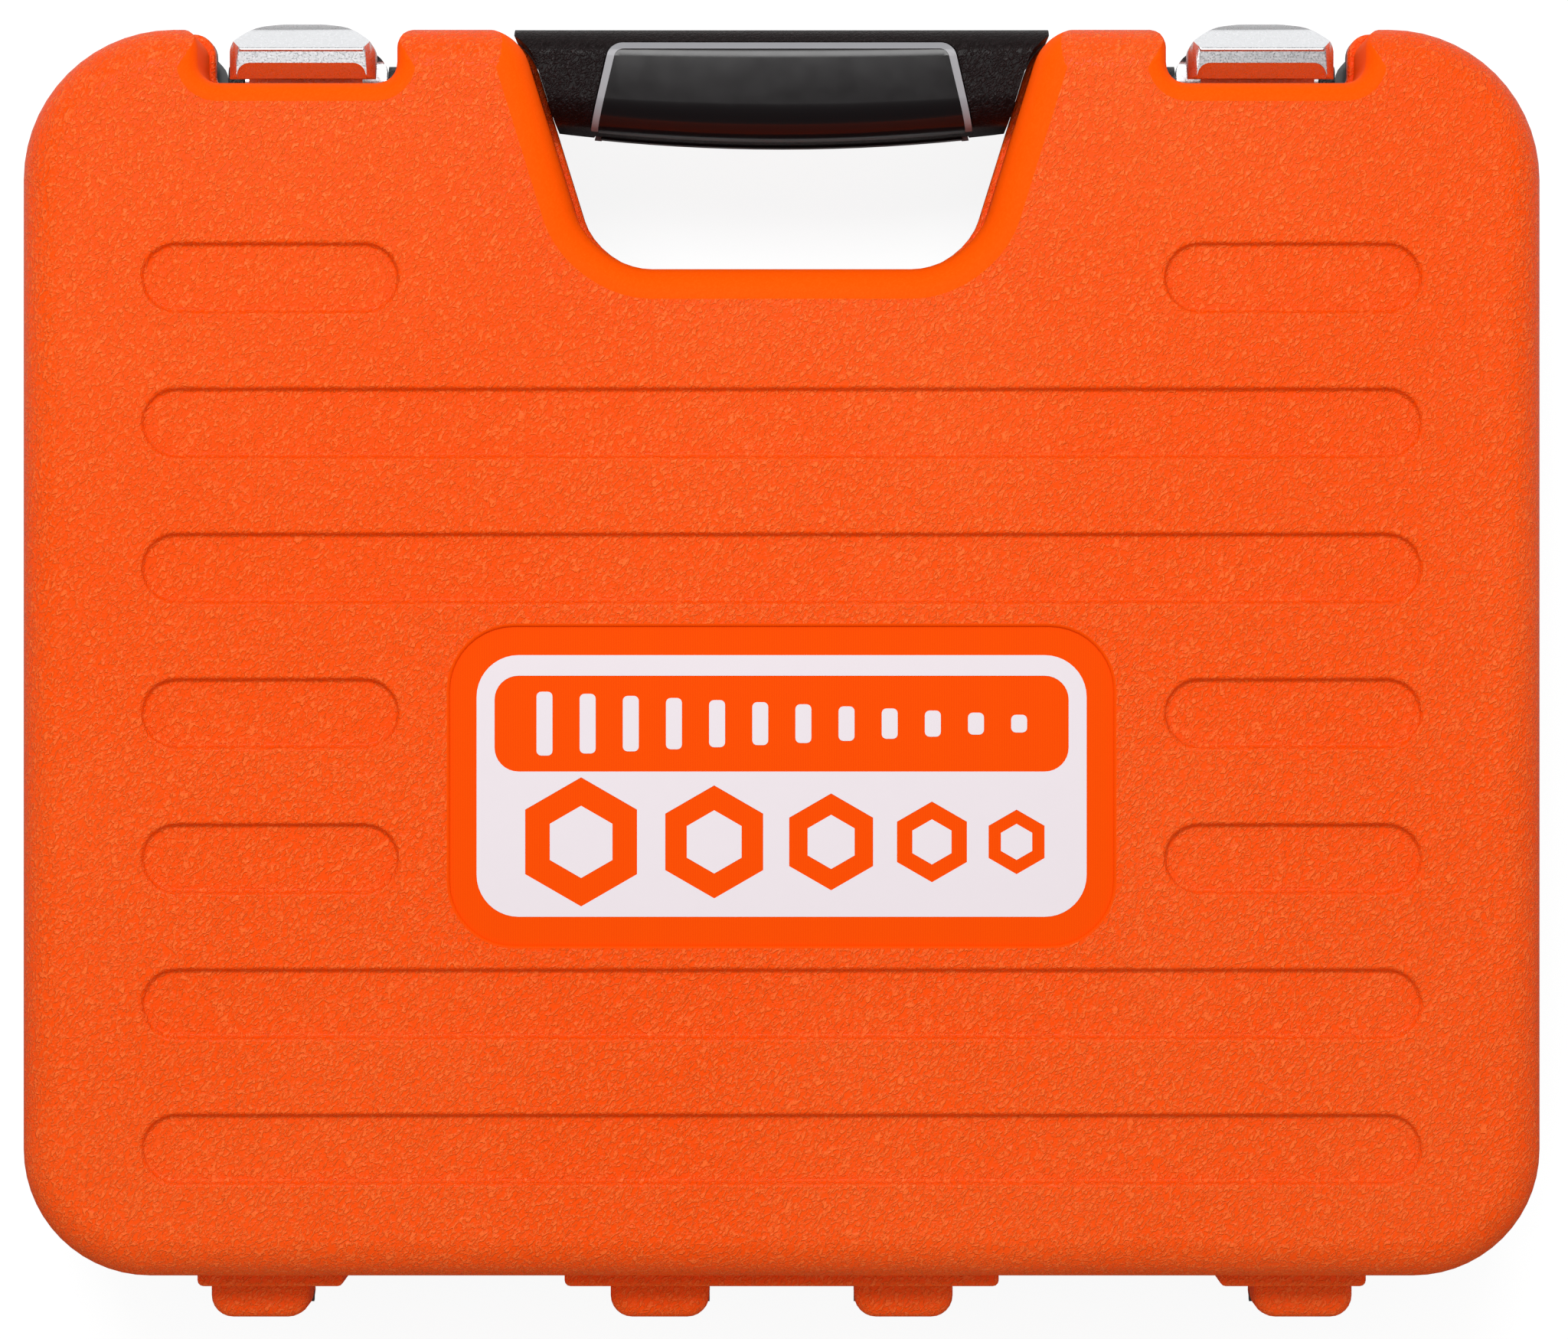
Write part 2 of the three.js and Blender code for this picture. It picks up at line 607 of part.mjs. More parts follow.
const linerInset = WALL + LINER_GAP;
const liner = prism(loop(caseCorners, linerInset, COARSE), LINER_Z, LINER_Z + LINER_PLATE);
addMesh(part, 'lid_inner_wall', liner, 'orange_plastic');

// ---- Base ------------------------------------------------------------------------------------
// The base is a half like the lid's, turned over about Y, so its own z runs downwards.

const latchPivotDepth = BASE_DEPTH - LATCH_PIVOT_Z;

/** The two ears that hold a latch's pin. */
function latchEars(x) {
  return [-1, 1].map((side) => {
    const inner = LATCH_WIDTH / 2 + LATCH_SIDE_GAP;
    const [x0, x1] = [x + side * inner, x + side * (inner + LATCH_EAR)].sort((a, b) => a - b);
    const post = box(x0, x1, RECESS_FLOOR_Y - WALL / 2, LATCH_PIVOT_Y,
      latchPivotDepth - LATCH_BARREL, latchPivotDepth + LATCH_BARREL);
    return post.add(barX(x0, x1, LATCH_PIVOT_Y, latchPivotDepth, LATCH_BARREL));
  });
}

const pinReach = LATCH_WIDTH / 2 + LATCH_SIDE_GAP + LATCH_EAR;
const latchBores = [-LATCH_X, LATCH_X].map((x) => barX(
  x - pinReach - 1, x + pinReach + 1, LATCH_PIVOT_Y, latchPivotDepth, PIN_RADIUS + PIN_CLEARANCE, 8,
));
const gripBore = barX(
  -GAP_MOUTH_HALF - WALL, GAP_MOUTH_HALF + WALL, GRIP_PIN_Y, BASE_DEPTH - GRIP_PIN_Z,
  GRIP_PIN_RADIUS + PIN_CLEARANCE, 8,
);
const baseShell = joined([
  caseHalf(BASE_DEPTH, SHORT_ROWS_BASE),
  ...KNUCKLE_X.map(baseBarrel),
  ...[-LATCH_X, LATCH_X].flatMap(latchEars),
]);
const base = addMesh(part, 'base_shell', cut(baseShell, [hingeBore, ...latchBores, gripBore]),
  'dark_plastic', 0, 0, BASE_DEPTH);
base.rotation.y = Math.PI;

KNUCKLE_X.forEach((x, i) => {
  const half = KNUCKLE_WIDTH / 2;
  const pin = barX(-half, half, 0, 0, PIN_RADIUS, 8);
  addMesh(part, `hinge_pin_${i + 1}`, pin, 'steel', x, HINGE_Y, BASE_DEPTH);
});

// ---- Latches -----------------------------------------------------------------------------------

/** A latch's side outline, as [z, y, radius] about its pivot. */
function latchProfile() {
  const crown = LATCH_CROWN_Y - LATCH_PIVOT_Y;
  const lip = LATCH_LIP_Y - LATCH_PIVOT_Y;
  const tip = LATCH_LIP_Z - LATCH_PIVOT_Z;
  return [
    [-LATCH_BARREL, -LATCH_BARREL, LATCH_BARREL * 0.9],
    [LATCH_BARREL, -LATCH_BARREL, LATCH_BARREL * 0.9],
    [LATCH_BARREL, crown - LATCH_PLATE, 3],
    [tip - 13.5, crown - LATCH_PLATE, 7],
    [tip - 3, lip, 0.8],
    [tip, lip, 0.8],
    [tip, lip + 3.5, 1.5],
    [tip - 11, crown, 11],
    [-LATCH_BARREL, crown, 8],
  ];
}

/** The latch in its own frame: pivot at the origin, its width along X. */
function latchSolid() {
  const half = LATCH_WIDTH / 2;
  // The profile's first axis is Z and its second Y, so the extrusion along Z is turned onto X.
  const geometry = new THREE.ExtrudeGeometry(new THREE.Shape(loop(latchProfile())), {
    depth: LATCH_WIDTH,
    bevelEnabled: false,
  });
  const strip = solidOf(geometry.translate(0, 0, -half).rotateY(-Math.PI / 2));
  const catchZ = BASE_DEPTH + RIM_HEIGHT + 1.5 - LATCH_PIVOT_Z;
  const catchY = RECESS_FLOOR_Y + RIM_PROUD + CATCH_CLEARANCE - LATCH_PIVOT_Y;
  const underPlate = LATCH_CROWN_Y - LATCH_PLATE - LATCH_PIVOT_Y;
  const rib = box(-half + 4, half - 4, catchY, underPlate + 1, catchZ, catchZ + CATCH_RIB);
  const low = LATCH_LIP_Y - LATCH_PIVOT_Y - 2;
  const front = rectangle(0, (LATCH_CROWN_Y - LATCH_PIVOT_Y + low) / 2, LATCH_WIDTH,
    LATCH_CROWN_Y - LATCH_PIVOT_Y - low, LATCH_TOP_CORNER);
  front[0][2] = 1;
  front[1][2] = 1;
  const plan = prism(loop(front), -BASE_DEPTH, TOTAL_DEPTH);
  const bore = barX(-half - 1, half + 1, 0, 0, PIN_RADIUS + PIN_CLEARANCE, 8);
  return strip.add(rib).intersect(plan).subtract(bore);
}

for (const [side, x] of [['left', -LATCH_X], ['right', LATCH_X]]) {
  addMesh(part, `latch_${side}`, latchSolid(), 'chrome', x, LATCH_PIVOT_Y, LATCH_PIVOT_Z);
  addMesh(part, `latch_pin_${side}`, barX(-pinReach, pinReach, 0, 0, PIN_RADIUS, 8),
    'steel', x, LATCH_PIVOT_Y, LATCH_PIVOT_Z);
}

// ---- Carry handle ----------------------------------------------------------------------------

const gripTop = TOP_Y + RIM_PROUD;
const gripBottom = gripTop - GRIP_HEIGHT;
const gripMiddleZ = BASE_DEPTH;
const gripPinEnd = gapHalfAt(GRIP_PIN_Y) + WALL - GRIP_PIN_END_GAP;

/** The grip seen from the front, a little narrower than the gap that it stands in. */
function gripOutline() {
  const topHalf = gapHalfAt(gripTop) - GRIP_SIDE_GAP - RIM_PROUD;
  const bottomHalf = gapHalfAt(gripBottom) - GRIP_SIDE_GAP - RIM_PROUD;
  const points = [new THREE.Vector2(topHalf, gripTop), new THREE.Vector2(-topHalf, gripTop)];
  const steps = 10;
  for (let k = 0; k <= steps; k += 1) {
    const x = -bottomHalf + (2 * bottomHalf * k) / steps;
    points.push(new THREE.Vector2(x, gripBottom + GRIP_SAG * ((x / bottomHalf) ** 2 - 1) + GRIP_SAG));
  }
  return points;
}

function gripSolid() {
  const section = loop(rectangle(0, 0, GRIP_DEPTH, GRIP_HEIGHT, GRIP_ROUND));
  const geometry = new THREE.ExtrudeGeometry(new THREE.Shape(section), {
    depth: CASE_WIDTH,
    bevelEnabled: false,
  });
  geometry.translate(0, 0, -SIDE_X).rotateY(-Math.PI / 2);
  geometry.translate(0, (gripTop + gripBottom) / 2, gripMiddleZ);
  return solidOf(geometry).intersect(prism(gripOutline(), 0, TOTAL_DEPTH));
}

/** The glossy cover plate's outline, grown all round by a clearance. */
function insertOutline(grow) {
  const top = gripTop - INSERT_TOP_GAP;
  return loop([
    [-INSERT_BOTTOM_HALF, top - INSERT_HEIGHT, 1.5],
    [INSERT_BOTTOM_HALF, top - INSERT_HEIGHT, 1.5],
    [INSERT_TOP_HALF, top, INSERT_CORNER],
    [-INSERT_TOP_HALF, top, INSERT_CORNER],
  ], -grow);
}

const gripFront = gripMiddleZ + GRIP_DEPTH / 2;
const gripBack = gripMiddleZ - GRIP_DEPTH / 2;
const insertSeats = [
  prism(insertOutline(SEAT_GAP), gripFront - INSERT_RECESS, gripFront + 1),
  prism(insertOutline(SEAT_GAP), gripBack - 1, gripBack + INSERT_RECESS),
];
const gripPinBores = [-1, 1].map((side) => {
  const reach = [gripPinEnd - GRIP_PIN_LENGTH - 1, GAP_MOUTH_HALF];
  const [x0, x1] = reach.map((x) => side * x).sort((a, b) => a - b);
  return barX(x0, x1, GRIP_PIN_Y, GRIP_PIN_Z, GRIP_PIN_RADIUS + PIN_CLEARANCE, 8);
});
addMesh(part, 'handle_grip', cut(gripSolid(), [...insertSeats, ...gripPinBores]), 'black_plastic');
addMesh(part, 'handle_insert_front',
  prism(insertOutline(0), 0, INSERT_THICK), 'gloss_black', 0, 0, gripFront - INSERT_RECESS + SEAT_GAP);
addMesh(part, 'handle_insert_back',
  prism(insertOutline(0), -INSERT_THICK, 0), 'gloss_black', 0, 0, gripBack + INSERT_RECESS - SEAT_GAP);
for (const [side, sign] of [['left', -1], ['right', 1]]) {
  const reach = [gripPinEnd - GRIP_PIN_LENGTH, gripPinEnd];
  const [x0, x1] = reach.map((x) => sign * x).sort((a, b) => a - b);
  const pin = barX(x0, x1, 0, 0, GRIP_PIN_RADIUS, 8);
  addMesh(part, `handle_pin_${side}`, pin, 'steel', 0, GRIP_PIN_Y, GRIP_PIN_Z);
}

// ---- Tool tray: nests are gathered here as the tools are placed ---------------------------------

const nests = [];

/** A nest in the tray: rounded corners in plan, open at the land, with its floor at a height. */
function addNest(corners, floorZ) {
  nests.push({ corners, floorZ });
}

function addRoundNest(x, y, radius, floorZ) {
  const size = 2 * (radius + NEST_CLEARANCE);
  addNest(rectangle(x, y, size, size, size / 2), floorZ);
}

/** A trough for a tool that lies along X between two ends. */
function addTrough(x0, x1, y, radius, floorZ) {
  const [length, width] = [x1 - x0, radius * 2].map((size) => size + 2 * NEST_CLEARANCE);
  addNest(rectangle((x0 + x1) / 2, y, length, width, Math.min(3, radius)), floorZ);
}

// ---- Sockets ----------------------------------------------------------------------------------

/** Twice the radius of a socket's wider end. */
function widestOf(spec, drive) {
  return Math.max(spec.outer, 2 * drive * DRIVE_END);
}

/** The length of a row of sockets that stand side by side. */
function rowLength(specs, drive, space) {
  return specs.reduce((length, spec) => length + widestOf(spec, drive) + space, -space);
}

/** A socket standing on its drive end, its own origin at the middle of that end. */
function socketSolid({ size, outer, length }, drive) {
  const driveRadius = drive * DRIVE_END;
  const mouthRadius = outer / 2;
  const chamfer = Math.min(1, mouthRadius * 0.06 + 0.3);
  const neck = length * 0.45;
  const body = turned([
    [0, 0],
    [driveRadius, 0],
    [driveRadius, neck - 2],
    [mouthRadius, neck + 2],
    [mouthRadius, length - chamfer],
    [mouthRadius - chamfer, length],
    [0, length],
  ], outer > 20 ? 12 : 10);
  const hexFloor = length * 0.5;
  return cut(body, [
    hexZ(0, 0, size + HEX_PLAY, hexFloor, length + 1),
    box(-drive / 2, drive / 2, -drive / 2, drive / 2, -1, hexFloor + 0.01),
  ]);
}

function standSocket(spec, drive, x, y, floorZ, name) {
  addMesh(part, `${name}_${spec.size}mm`, socketSolid(spec, drive), 'chrome', x, y, floorZ + SEAT_GAP);
  addRoundNest(x, y, widestOf(spec, drive) / 2, floorZ);
}

/** Stands sockets side by side from the left. */
function socketRow(specs, drive, y, floorZ, space, name) {
  let edge = LEFT_X;
  for (const spec of specs) {
    const width = widestOf(spec, drive);
    standSocket(spec, drive, edge + width / 2, y, floorZ, name);
    edge += width + space;
  }
}

// The large sockets share out the whole width.
const largeSockets = HALF_SOCKETS.slice(0, HALF_ROW_COUNT);
const largeSpace = (RIGHT_X - LEFT_X - rowLength(largeSockets, HALF_DRIVE, 0)) / (HALF_ROW_COUNT - 1);
socketRow(largeSockets, HALF_DRIVE, THIRD_ROW_Y, DEEP_FLOOR_Z, largeSpace, 'socket_half');
socketRow(HALF_SOCKETS.slice(HALF_ROW_COUNT), HALF_DRIVE, FOURTH_ROW_Y,
  DEEP_FLOOR_Z, HALF_SOCKET_SPACE, 'socket_half');
socketRow(QUARTER_SOCKETS, QUARTER_DRIVE, SIXTH_ROW_Y,
  QUARTER_FLOOR_Z, QUARTER_SOCKET_SPACE, 'socket_quarter');

// ---- Ratchets -------------------------------------------------------------------------------------

/** A ratchet lying with its drive down; origin at the middle of its head, handle towards handSide X. */
function addRatchet(spec, handSide) {
  const group = new THREE.Group();
  group.position.set(spec.x, spec.y, spec.z);
  if (handSide > 0) group.rotation.z = Math.PI;
  part.add(group);

  const [top, bottom] = [spec.headHeight / 2, -spec.headHeight / 2];
  const tailEnd = -(spec.reach - spec.gripLength * 0.3);
  const neckEnd = -spec.headRadius * 2.3;
  const halfShank = spec.shankWidth / 2;
  const neck = prism([
    new THREE.Vector2(-spec.headRadius * 0.2, spec.headRadius * 0.9),
    new THREE.Vector2(neckEnd, halfShank),
    new THREE.Vector2(neckEnd, -halfShank),
    new THREE.Vector2(-spec.headRadius * 0.2, -spec.headRadius * 0.9),
  ], bottom * 0.8, top * 0.8);
  const shank = box(tailEnd, neckEnd + 1, -halfShank, halfShank, -spec.shankHeight / 2, spec.shankHeight / 2);
  const hubTop = top - spec.headHeight * 0.3;
  const leverSeat = top - spec.leverThick * 0.5;
  const body = cut(joined([barZ(0, 0, spec.headRadius, bottom, top, 24), neck, shank]), [
    barZ(0, 0, spec.hubRadius + SEAT_GAP, bottom - 1, hubTop, 16),
    barZ(0, 0, spec.coverRadius + SEAT_GAP, bottom - 1, bottom + spec.coverThick + SEAT_GAP, 16),
    barZ(0, 0, spec.buttonRadius + SEAT_GAP, 0, top + 1, 10),
    barZ(0, 0, spec.leverRadius + SEAT_GAP, leverSeat, top + 1, 16),
  ]);
  addMesh(group, `${spec.name}_body`, body, 'chrome');

  const coverTop = bottom + spec.coverThick;
  const cover = barZ(0, 0, spec.coverRadius, bottom, coverTop, 16)
    .subtract(barZ(0, 0, spec.drive * 0.76, bottom - 1, coverTop + 1, 16));
  addMesh(group, `${spec.name}_cover`, cover, 'steel');

  const halfDrive = spec.drive / 2;
  const hubBottom = coverTop + 2 * SEAT_GAP;
  const drive = joined([
    barZ(0, 0, spec.hubRadius, hubBottom, hubTop - SEAT_GAP, 16),
    box(-halfDrive, halfDrive, -halfDrive, halfDrive, bottom - spec.driveLength, hubBottom + 1),
  ]).subtract(barZ(0, 0, spec.buttonRadius + SEAT_GAP, hubBottom + 3, top, 10));
  addMesh(group, `${spec.name}_drive`, drive, 'chrome');

  const leverBottom = leverSeat + SEAT_GAP;
  const leverTop = leverSeat + spec.leverThick;
  const tab = box(spec.leverRadius * 0.5, spec.leverReach, -spec.leverWidth / 2, spec.leverWidth / 2,
    top + SEAT_GAP, leverTop);
  const lever = barZ(0, 0, spec.leverRadius, leverBottom, leverTop, 16).add(tab)
    .subtract(barZ(0, 0, spec.buttonRadius + SEAT_GAP, leverBottom - 1, leverTop + 1, 10));
  addMesh(group, `${spec.name}_lever`, lever, 'steel');
  addMesh(group, `${spec.name}_button`,
    barZ(0, 0, spec.buttonRadius, hubBottom + 3 + 2.5, leverTop + 2, 10), 'steel');

  const gripEnd = -spec.reach;
  const gripMouth = gripEnd + spec.gripLength;
  const r = spec.gripRadius;
  const grip = turnedX([
    [0, gripEnd],
    [r * 0.6, gripEnd],
    [r * 0.95, gripEnd + r * 0.4],
    [r, gripEnd + r * 1.2],
    [r * 0.86, gripEnd + spec.gripLength * 0.5],
    [r * 0.92, gripMouth - r],
    [r * 0.78, gripMouth],
    [0, gripMouth],
  ], 16).subtract(box(tailEnd - 1, gripMouth + 1, -halfShank - SEAT_GAP, halfShank + SEAT_GAP,
    -spec.shankHeight / 2 - SEAT_GAP, spec.shankHeight / 2 + SEAT_GAP));
  addMesh(group, `${spec.name}_grip`, grip, 'grip_plastic');

  const xAlong = (near, far) => [near, far].map((reach) => spec.x + handSide * reach).sort((a, b) => a - b);
  const [gripX0, gripX1] = xAlong(spec.reach - spec.gripLength, spec.reach);
  const [shankX0, shankX1] = xAlong(0, spec.reach - spec.gripLength);
  const headFloor = spec.z - spec.headHeight / 2 - SEAT_GAP;
  addTrough(gripX0, gripX1, spec.y, r, spec.z - r - SEAT_GAP);
  addTrough(shankX0, shankX1, spec.y, spec.headRadius * 0.8, headFloor);
  addRoundNest(spec.x, spec.y, spec.headRadius, headFloor);
  addRoundNest(spec.x, spec.y, spec.drive * 0.75, headFloor - spec.driveLength);
}

addRatchet(HALF_RATCHET, -1);
addRatchet(QUARTER_RATCHET, 1);

// ---- Extension bars, universal joint, plug socket and spinner, all lying along X -------------------

/** A bar with a square socket at its low end and a square drive at its high end. */
function addExtension({ name, x, y, length, drive }, axisZ) {
  const radius = drive * 0.9;
  const shaft = drive * 0.52;
  const shoulder = length - drive * 1.25;
  const bar = turnedX([
    [0, 0],
    [radius, 0],
    [radius, drive * 1.7],
    [shaft, drive * 2.3],
    [shaft, shoulder - drive * 0.9],
    [drive * 0.8, shoulder - drive * 0.6],
    [drive * 0.8, shoulder],
    [0, shoulder],
  ], 12);
  const half = drive / 2;
  const solid = bar.add(box(shoulder - 1, length, -half, half, -half, half))
    .subtract(box(-1, drive * 1.3, -half, half, -half, half));
  addMesh(part, name, solid, 'chrome', x, y, axisZ);
  addTrough(x, x + length, y, radius, axisZ - radius - SEAT_GAP);
}

HALF_EXTENSIONS.forEach((spec) => addExtension(spec, HALF_AXIS_Z));
QUARTER_EXTENSIONS.forEach((spec) => addExtension(spec, QUARTER_AXIS_Z));

/** Two yokes at right angles on a cross; the cross's middle is the origin. */
function addUniversalJoint(spec) {
  const { x, y, radius, reach, crossHalf, earInner, earOuter, trunnion } = spec;
  const half = HALF_DRIVE / 2;
  const root = earOuter + 1;
  const earHalf = crossHalf + 0.5;
  const hole = trunnion + SEAT_GAP;
  const socketEars = [-1, 1].map((side) => {
    const [y0, y1] = [side * earInner, side * earOuter].sort((a, b) => a - b);
    return box(-root - 1, crossHalf, y0, y1, -earHalf, earHalf);
  });
  const socketYoke = turnedX([[0, -reach], [radius, -reach], [radius, -root], [0, -root]], 16);
  addMesh(part, 'universal_joint_socket_yoke', cut(joined([socketYoke, ...socketEars]), [
    box(-reach - 1, -reach + HALF_DRIVE * 1.3, -half, half, -half, half),
    barY(-radius, radius, 0, 0, hole),
  ]), 'chrome', x, y, HALF_AXIS_Z);

  const cross = joined([
    box(-crossHalf, crossHalf, -crossHalf, crossHalf, -crossHalf, crossHalf),
    barY(-earOuter, earOuter, 0, 0, trunnion),
    barZ(0, 0, trunnion, -earOuter, earOuter, 12),
  ]);
  addMesh(part, 'universal_joint_cross', cross, 'steel', x, y, HALF_AXIS_Z);

  const driveEars = [-1, 1].map((side) => {
    const [z0, z1] = [side * earInner, side * earOuter].sort((a, b) => a - b);
    return box(-crossHalf, root + 1, -earHalf, earHalf, z0, z1);
  });
  const shoulder = reach - HALF_DRIVE * 1.2;
  const driveYoke = turnedX([
    [0, root],
    [radius, root],
    [radius, shoulder - 2],
    [radius - 2, shoulder],
    [0, shoulder],
  ], 16);
  addMesh(part, 'universal_joint_drive_yoke', joined([
    driveYoke,
    ...driveEars,
    box(shoulder - 1, reach, -half, half, -half, half),
  ]).subtract(barZ(0, 0, hole, -radius, radius, 12)), 'chrome', x, y, HALF_AXIS_Z);
  addTrough(x - reach, x + reach, y, radius, HALF_AXIS_Z - radius - SEAT_GAP);
}

addUniversalJoint(UNIVERSAL_JOINT);

function addPlugSocket({ x, y, length, outer, size }) {
  const r = outer / 2;
  const half = HALF_DRIVE / 2;
  const hexStart = length * 0.5;
  const waist = r - 1.5;
  const body = turnedX([
    [0, 0],
    [waist, 0],
    [waist, length * 0.4],
    [r, length * 0.45],
    [r, length],
    [0, length],
  ], 16);
  const hex = barX(hexStart, length + 1, 0, 0, (size + HEX_PLAY) / Math.sqrt(3), 6);
  addMesh(part, 'plug_socket_21mm', cut(body, [hex, box(-1, hexStart + 0.01, -half, half, -half, half)]),
    'chrome', x, y, HALF_AXIS_Z);
  addTrough(x, x + length, y, r, HALF_AXIS_Z - r - SEAT_GAP);
}

addPlugSocket(PLUG_SOCKET);

function addSpinner({ x, y, z, length, gripLength, gripRadius, shaftRadius }) {
  const r = gripRadius;
  const tail = gripLength * 0.6;
  const half = QUARTER_DRIVE / 2;
  const squareStart = length - QUARTER_DRIVE * 1.2;
  const grip = turnedX([
    [0, 0],
    [r * 0.7, 0],
    [r, r * 0.5],
    [r, gripLength * 0.6],
    [r * 0.7, gripLength * 0.8],
    [r * 0.7, gripLength],
    [0, gripLength],
  ], 16).subtract(barX(tail - SEAT_GAP, gripLength + 1, 0, 0, shaftRadius + SEAT_GAP, 12));
  addMesh(part, 'spinner_grip', grip, 'grip_plastic', x, y, z);
  const shaft = barX(tail, squareStart, 0, 0, shaftRadius, 12)
    .add(box(squareStart - 1, length, -half, half, -half, half));
  addMesh(part, 'spinner_shaft', shaft, 'chrome', x, y, z);
  addTrough(x, x + length, y, r, z - r - SEAT_GAP);
}

addSpinner(SPINNER);

// ---- Bit block ------------------------------------------------------------------------------------

/** A block that holds screwdriver bits upright, joined with them. */
function addBitBlock(spec) {
  const { x, y, width, height, depth, rows, columns } = spec;
  const bits = [];
  for (let row = 0; row < rows; row += 1) {
    for (let column = 0; column < columns; column += 1) {
      const bitX = ((column + 0.5) / columns - 0.5) * width;
      const bitY = ((row + 0.5) / rows - 0.5) * height;
      bits.push(hexZ(bitX, bitY, BIT_FLATS, depth - 1, depth + BIT_STAND));
    }
  }
  const block = prism(loop(rectangle(0, 0, width, height, 3)), 0, depth);
  addMesh(part, 'bit_block', joined([block, ...bits]), 'black_plastic', x, y, BIT_BLOCK_FLOOR_Z + SEAT_GAP);
  const grow = 2 * NEST_CLEARANCE;
  addNest(rectangle(x, y, width + grow, height + grow, 4), BIT_BLOCK_FLOOR_Z);
}

addBitBlock(BIT_BLOCK);

// ---- Tray -------------------------------------------------------------------------------------------

for (const { x, y, width, height, corner, floor } of [SPARE_NEST, SMALL_NEST, ...SCOOPS]) {
  addNest(rectangle(x, y, width, height, corner), floor);
}

const trayPlate = prism(loop(caseCorners, linerInset, COARSE), TRAY_LAND_Z - TRAY_PLATE, TRAY_LAND_Z);
const trayEdge = prism(loop(caseCorners, linerInset, COARSE), TRAY_LAND_Z - TRAY_PLATE, TRAY_EDGE_TOP)
  .subtract(prism(loop(caseCorners, linerInset + TRAY_EDGE, COARSE), 0, BASE_DEPTH));
const cups = nests.map(({ corners, floorZ }) => prism(
  loop(corners, -CUP_WALL, ROUGH), floorZ - CUP_FLOOR, TRAY_LAND_Z,
));
const hollows = nests.map(({ corners, floorZ }) => prism(loop(corners, 0, ROUGH), floorZ, BASE_DEPTH));
const tray = cut(joined([trayPlate, trayEdge, ...cups]), hollows);
addMesh(part, 'base_tool_tray', tray, 'dark_plastic');

export default part;
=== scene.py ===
# %% [markdown]
# # A socket wrench set in its carrying case
#
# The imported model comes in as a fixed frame, and the fine pieces are built around it.
# Everything is drawn in millimetres about the middle of the closed case, because that is how
# a mould drawing is dimensioned, and a piece is turned into metres when it is finished.

# %% Load the frame
import math

import bmesh
import bpy
from mathutils import Matrix, Vector


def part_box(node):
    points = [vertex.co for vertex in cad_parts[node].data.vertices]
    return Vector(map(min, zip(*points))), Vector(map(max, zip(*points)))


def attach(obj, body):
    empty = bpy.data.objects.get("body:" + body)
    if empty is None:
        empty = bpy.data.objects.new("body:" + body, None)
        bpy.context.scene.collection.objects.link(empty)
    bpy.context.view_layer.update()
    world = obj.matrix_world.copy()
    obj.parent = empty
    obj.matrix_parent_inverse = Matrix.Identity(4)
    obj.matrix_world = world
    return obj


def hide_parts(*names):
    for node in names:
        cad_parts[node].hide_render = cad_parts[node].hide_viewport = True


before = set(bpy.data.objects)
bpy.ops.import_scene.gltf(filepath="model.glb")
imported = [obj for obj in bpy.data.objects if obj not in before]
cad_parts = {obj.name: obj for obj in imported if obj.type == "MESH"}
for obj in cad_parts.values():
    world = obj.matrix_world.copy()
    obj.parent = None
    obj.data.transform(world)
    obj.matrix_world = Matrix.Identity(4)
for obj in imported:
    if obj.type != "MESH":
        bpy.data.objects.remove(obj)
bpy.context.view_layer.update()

# %% [markdown]
# The sizes below are the moulded case's own: its walls, the 4 mm raised rim along the parting
# line, the rows of stiffening grooves, the finger gap, and the recesses of the two latches.
# The case's middle in the frame is found from the lid's box, so the pieces land on the CAD.

# %% Sizes of the case in millimetres
SIDE_X = 191.0
TOP_Y = 157.0
PARTING_Z = 48.0
TOTAL_Z = 84.0
LID_DEPTH = TOTAL_Z - PARTING_Z
BASE_DEPTH = PARTING_Z
WALL = 3.0
TOP_CORNER = 38.0
BOTTOM_CORNER = 32.0
FACE_ROUND = 10.5
CAVITY_ROUND = 7.0
RIM_PROUD = 1.5
RIM_HEIGHT = 4.0
PARTING_GAP = 0.3

GROOVE_ROWS = 7
GROOVE_FIRST_Y = TOP_Y - 63.2
GROOVE_PITCH = 36.35
GROOVE_WIDTH = 18.0
GROOVE_SPAN = 321.0
GROOVE_SHORT = 65.0
GROOVE_DEPTH = 2.0
GROOVE_LIP = 0.5

PANEL = (0.0, -33.4, 166.0, 79.7, 16.0)
PRINT = (0.0, -33.4, 152.7, 65.5, 10.5)
PANEL_DEPTH = 0.8

GAP_FLOOR_Y = TOP_Y - 60.5
GAP_FLOOR_HALF = 47.6
GAP_MOUTH_HALF = 66.4
GAP_FLOOR_CORNER = 20.0
GAP_MOUTH_CORNER = 12.0
GAP_ROUND = 8.0

LATCH_X = 121.5
LATCH_WIDTH = 37.0
RECESS_WIDTH = 50.0
RECESS_FLOOR_Y = TOP_Y - 14.0
RECESS_FLOOR_CORNER = 5.0
RECESS_MOUTH_CORNER = 4.0
RECESS_LIP = 5.0
LATCH_PIVOT = (149.7, 22.2)
LATCH_EAR = 4.0
LATCH_GAP = 0.4
LATCH_BARREL = 3.7
GRIP_PIN = (141.0, 34.0, 2.0)

KNUCKLE_X = (-132.5, -31.0, 31.0, 132.5)
KNUCKLE_WIDTH = 25.0
KNUCKLE_BARREL = 3.9
BASE_BARREL_WIDTH = 12.0
KNUCKLE_ARM_TOP = 16.0
HINGE_Y = -165.0
PAD_Y = -160.5
PAD_SPANS = ((-148.0, -111.0), (-55.0, 55.0), (111.0, 148.0))
PAD_HEIGHT = 20.0
PIN_RADIUS = 1.5

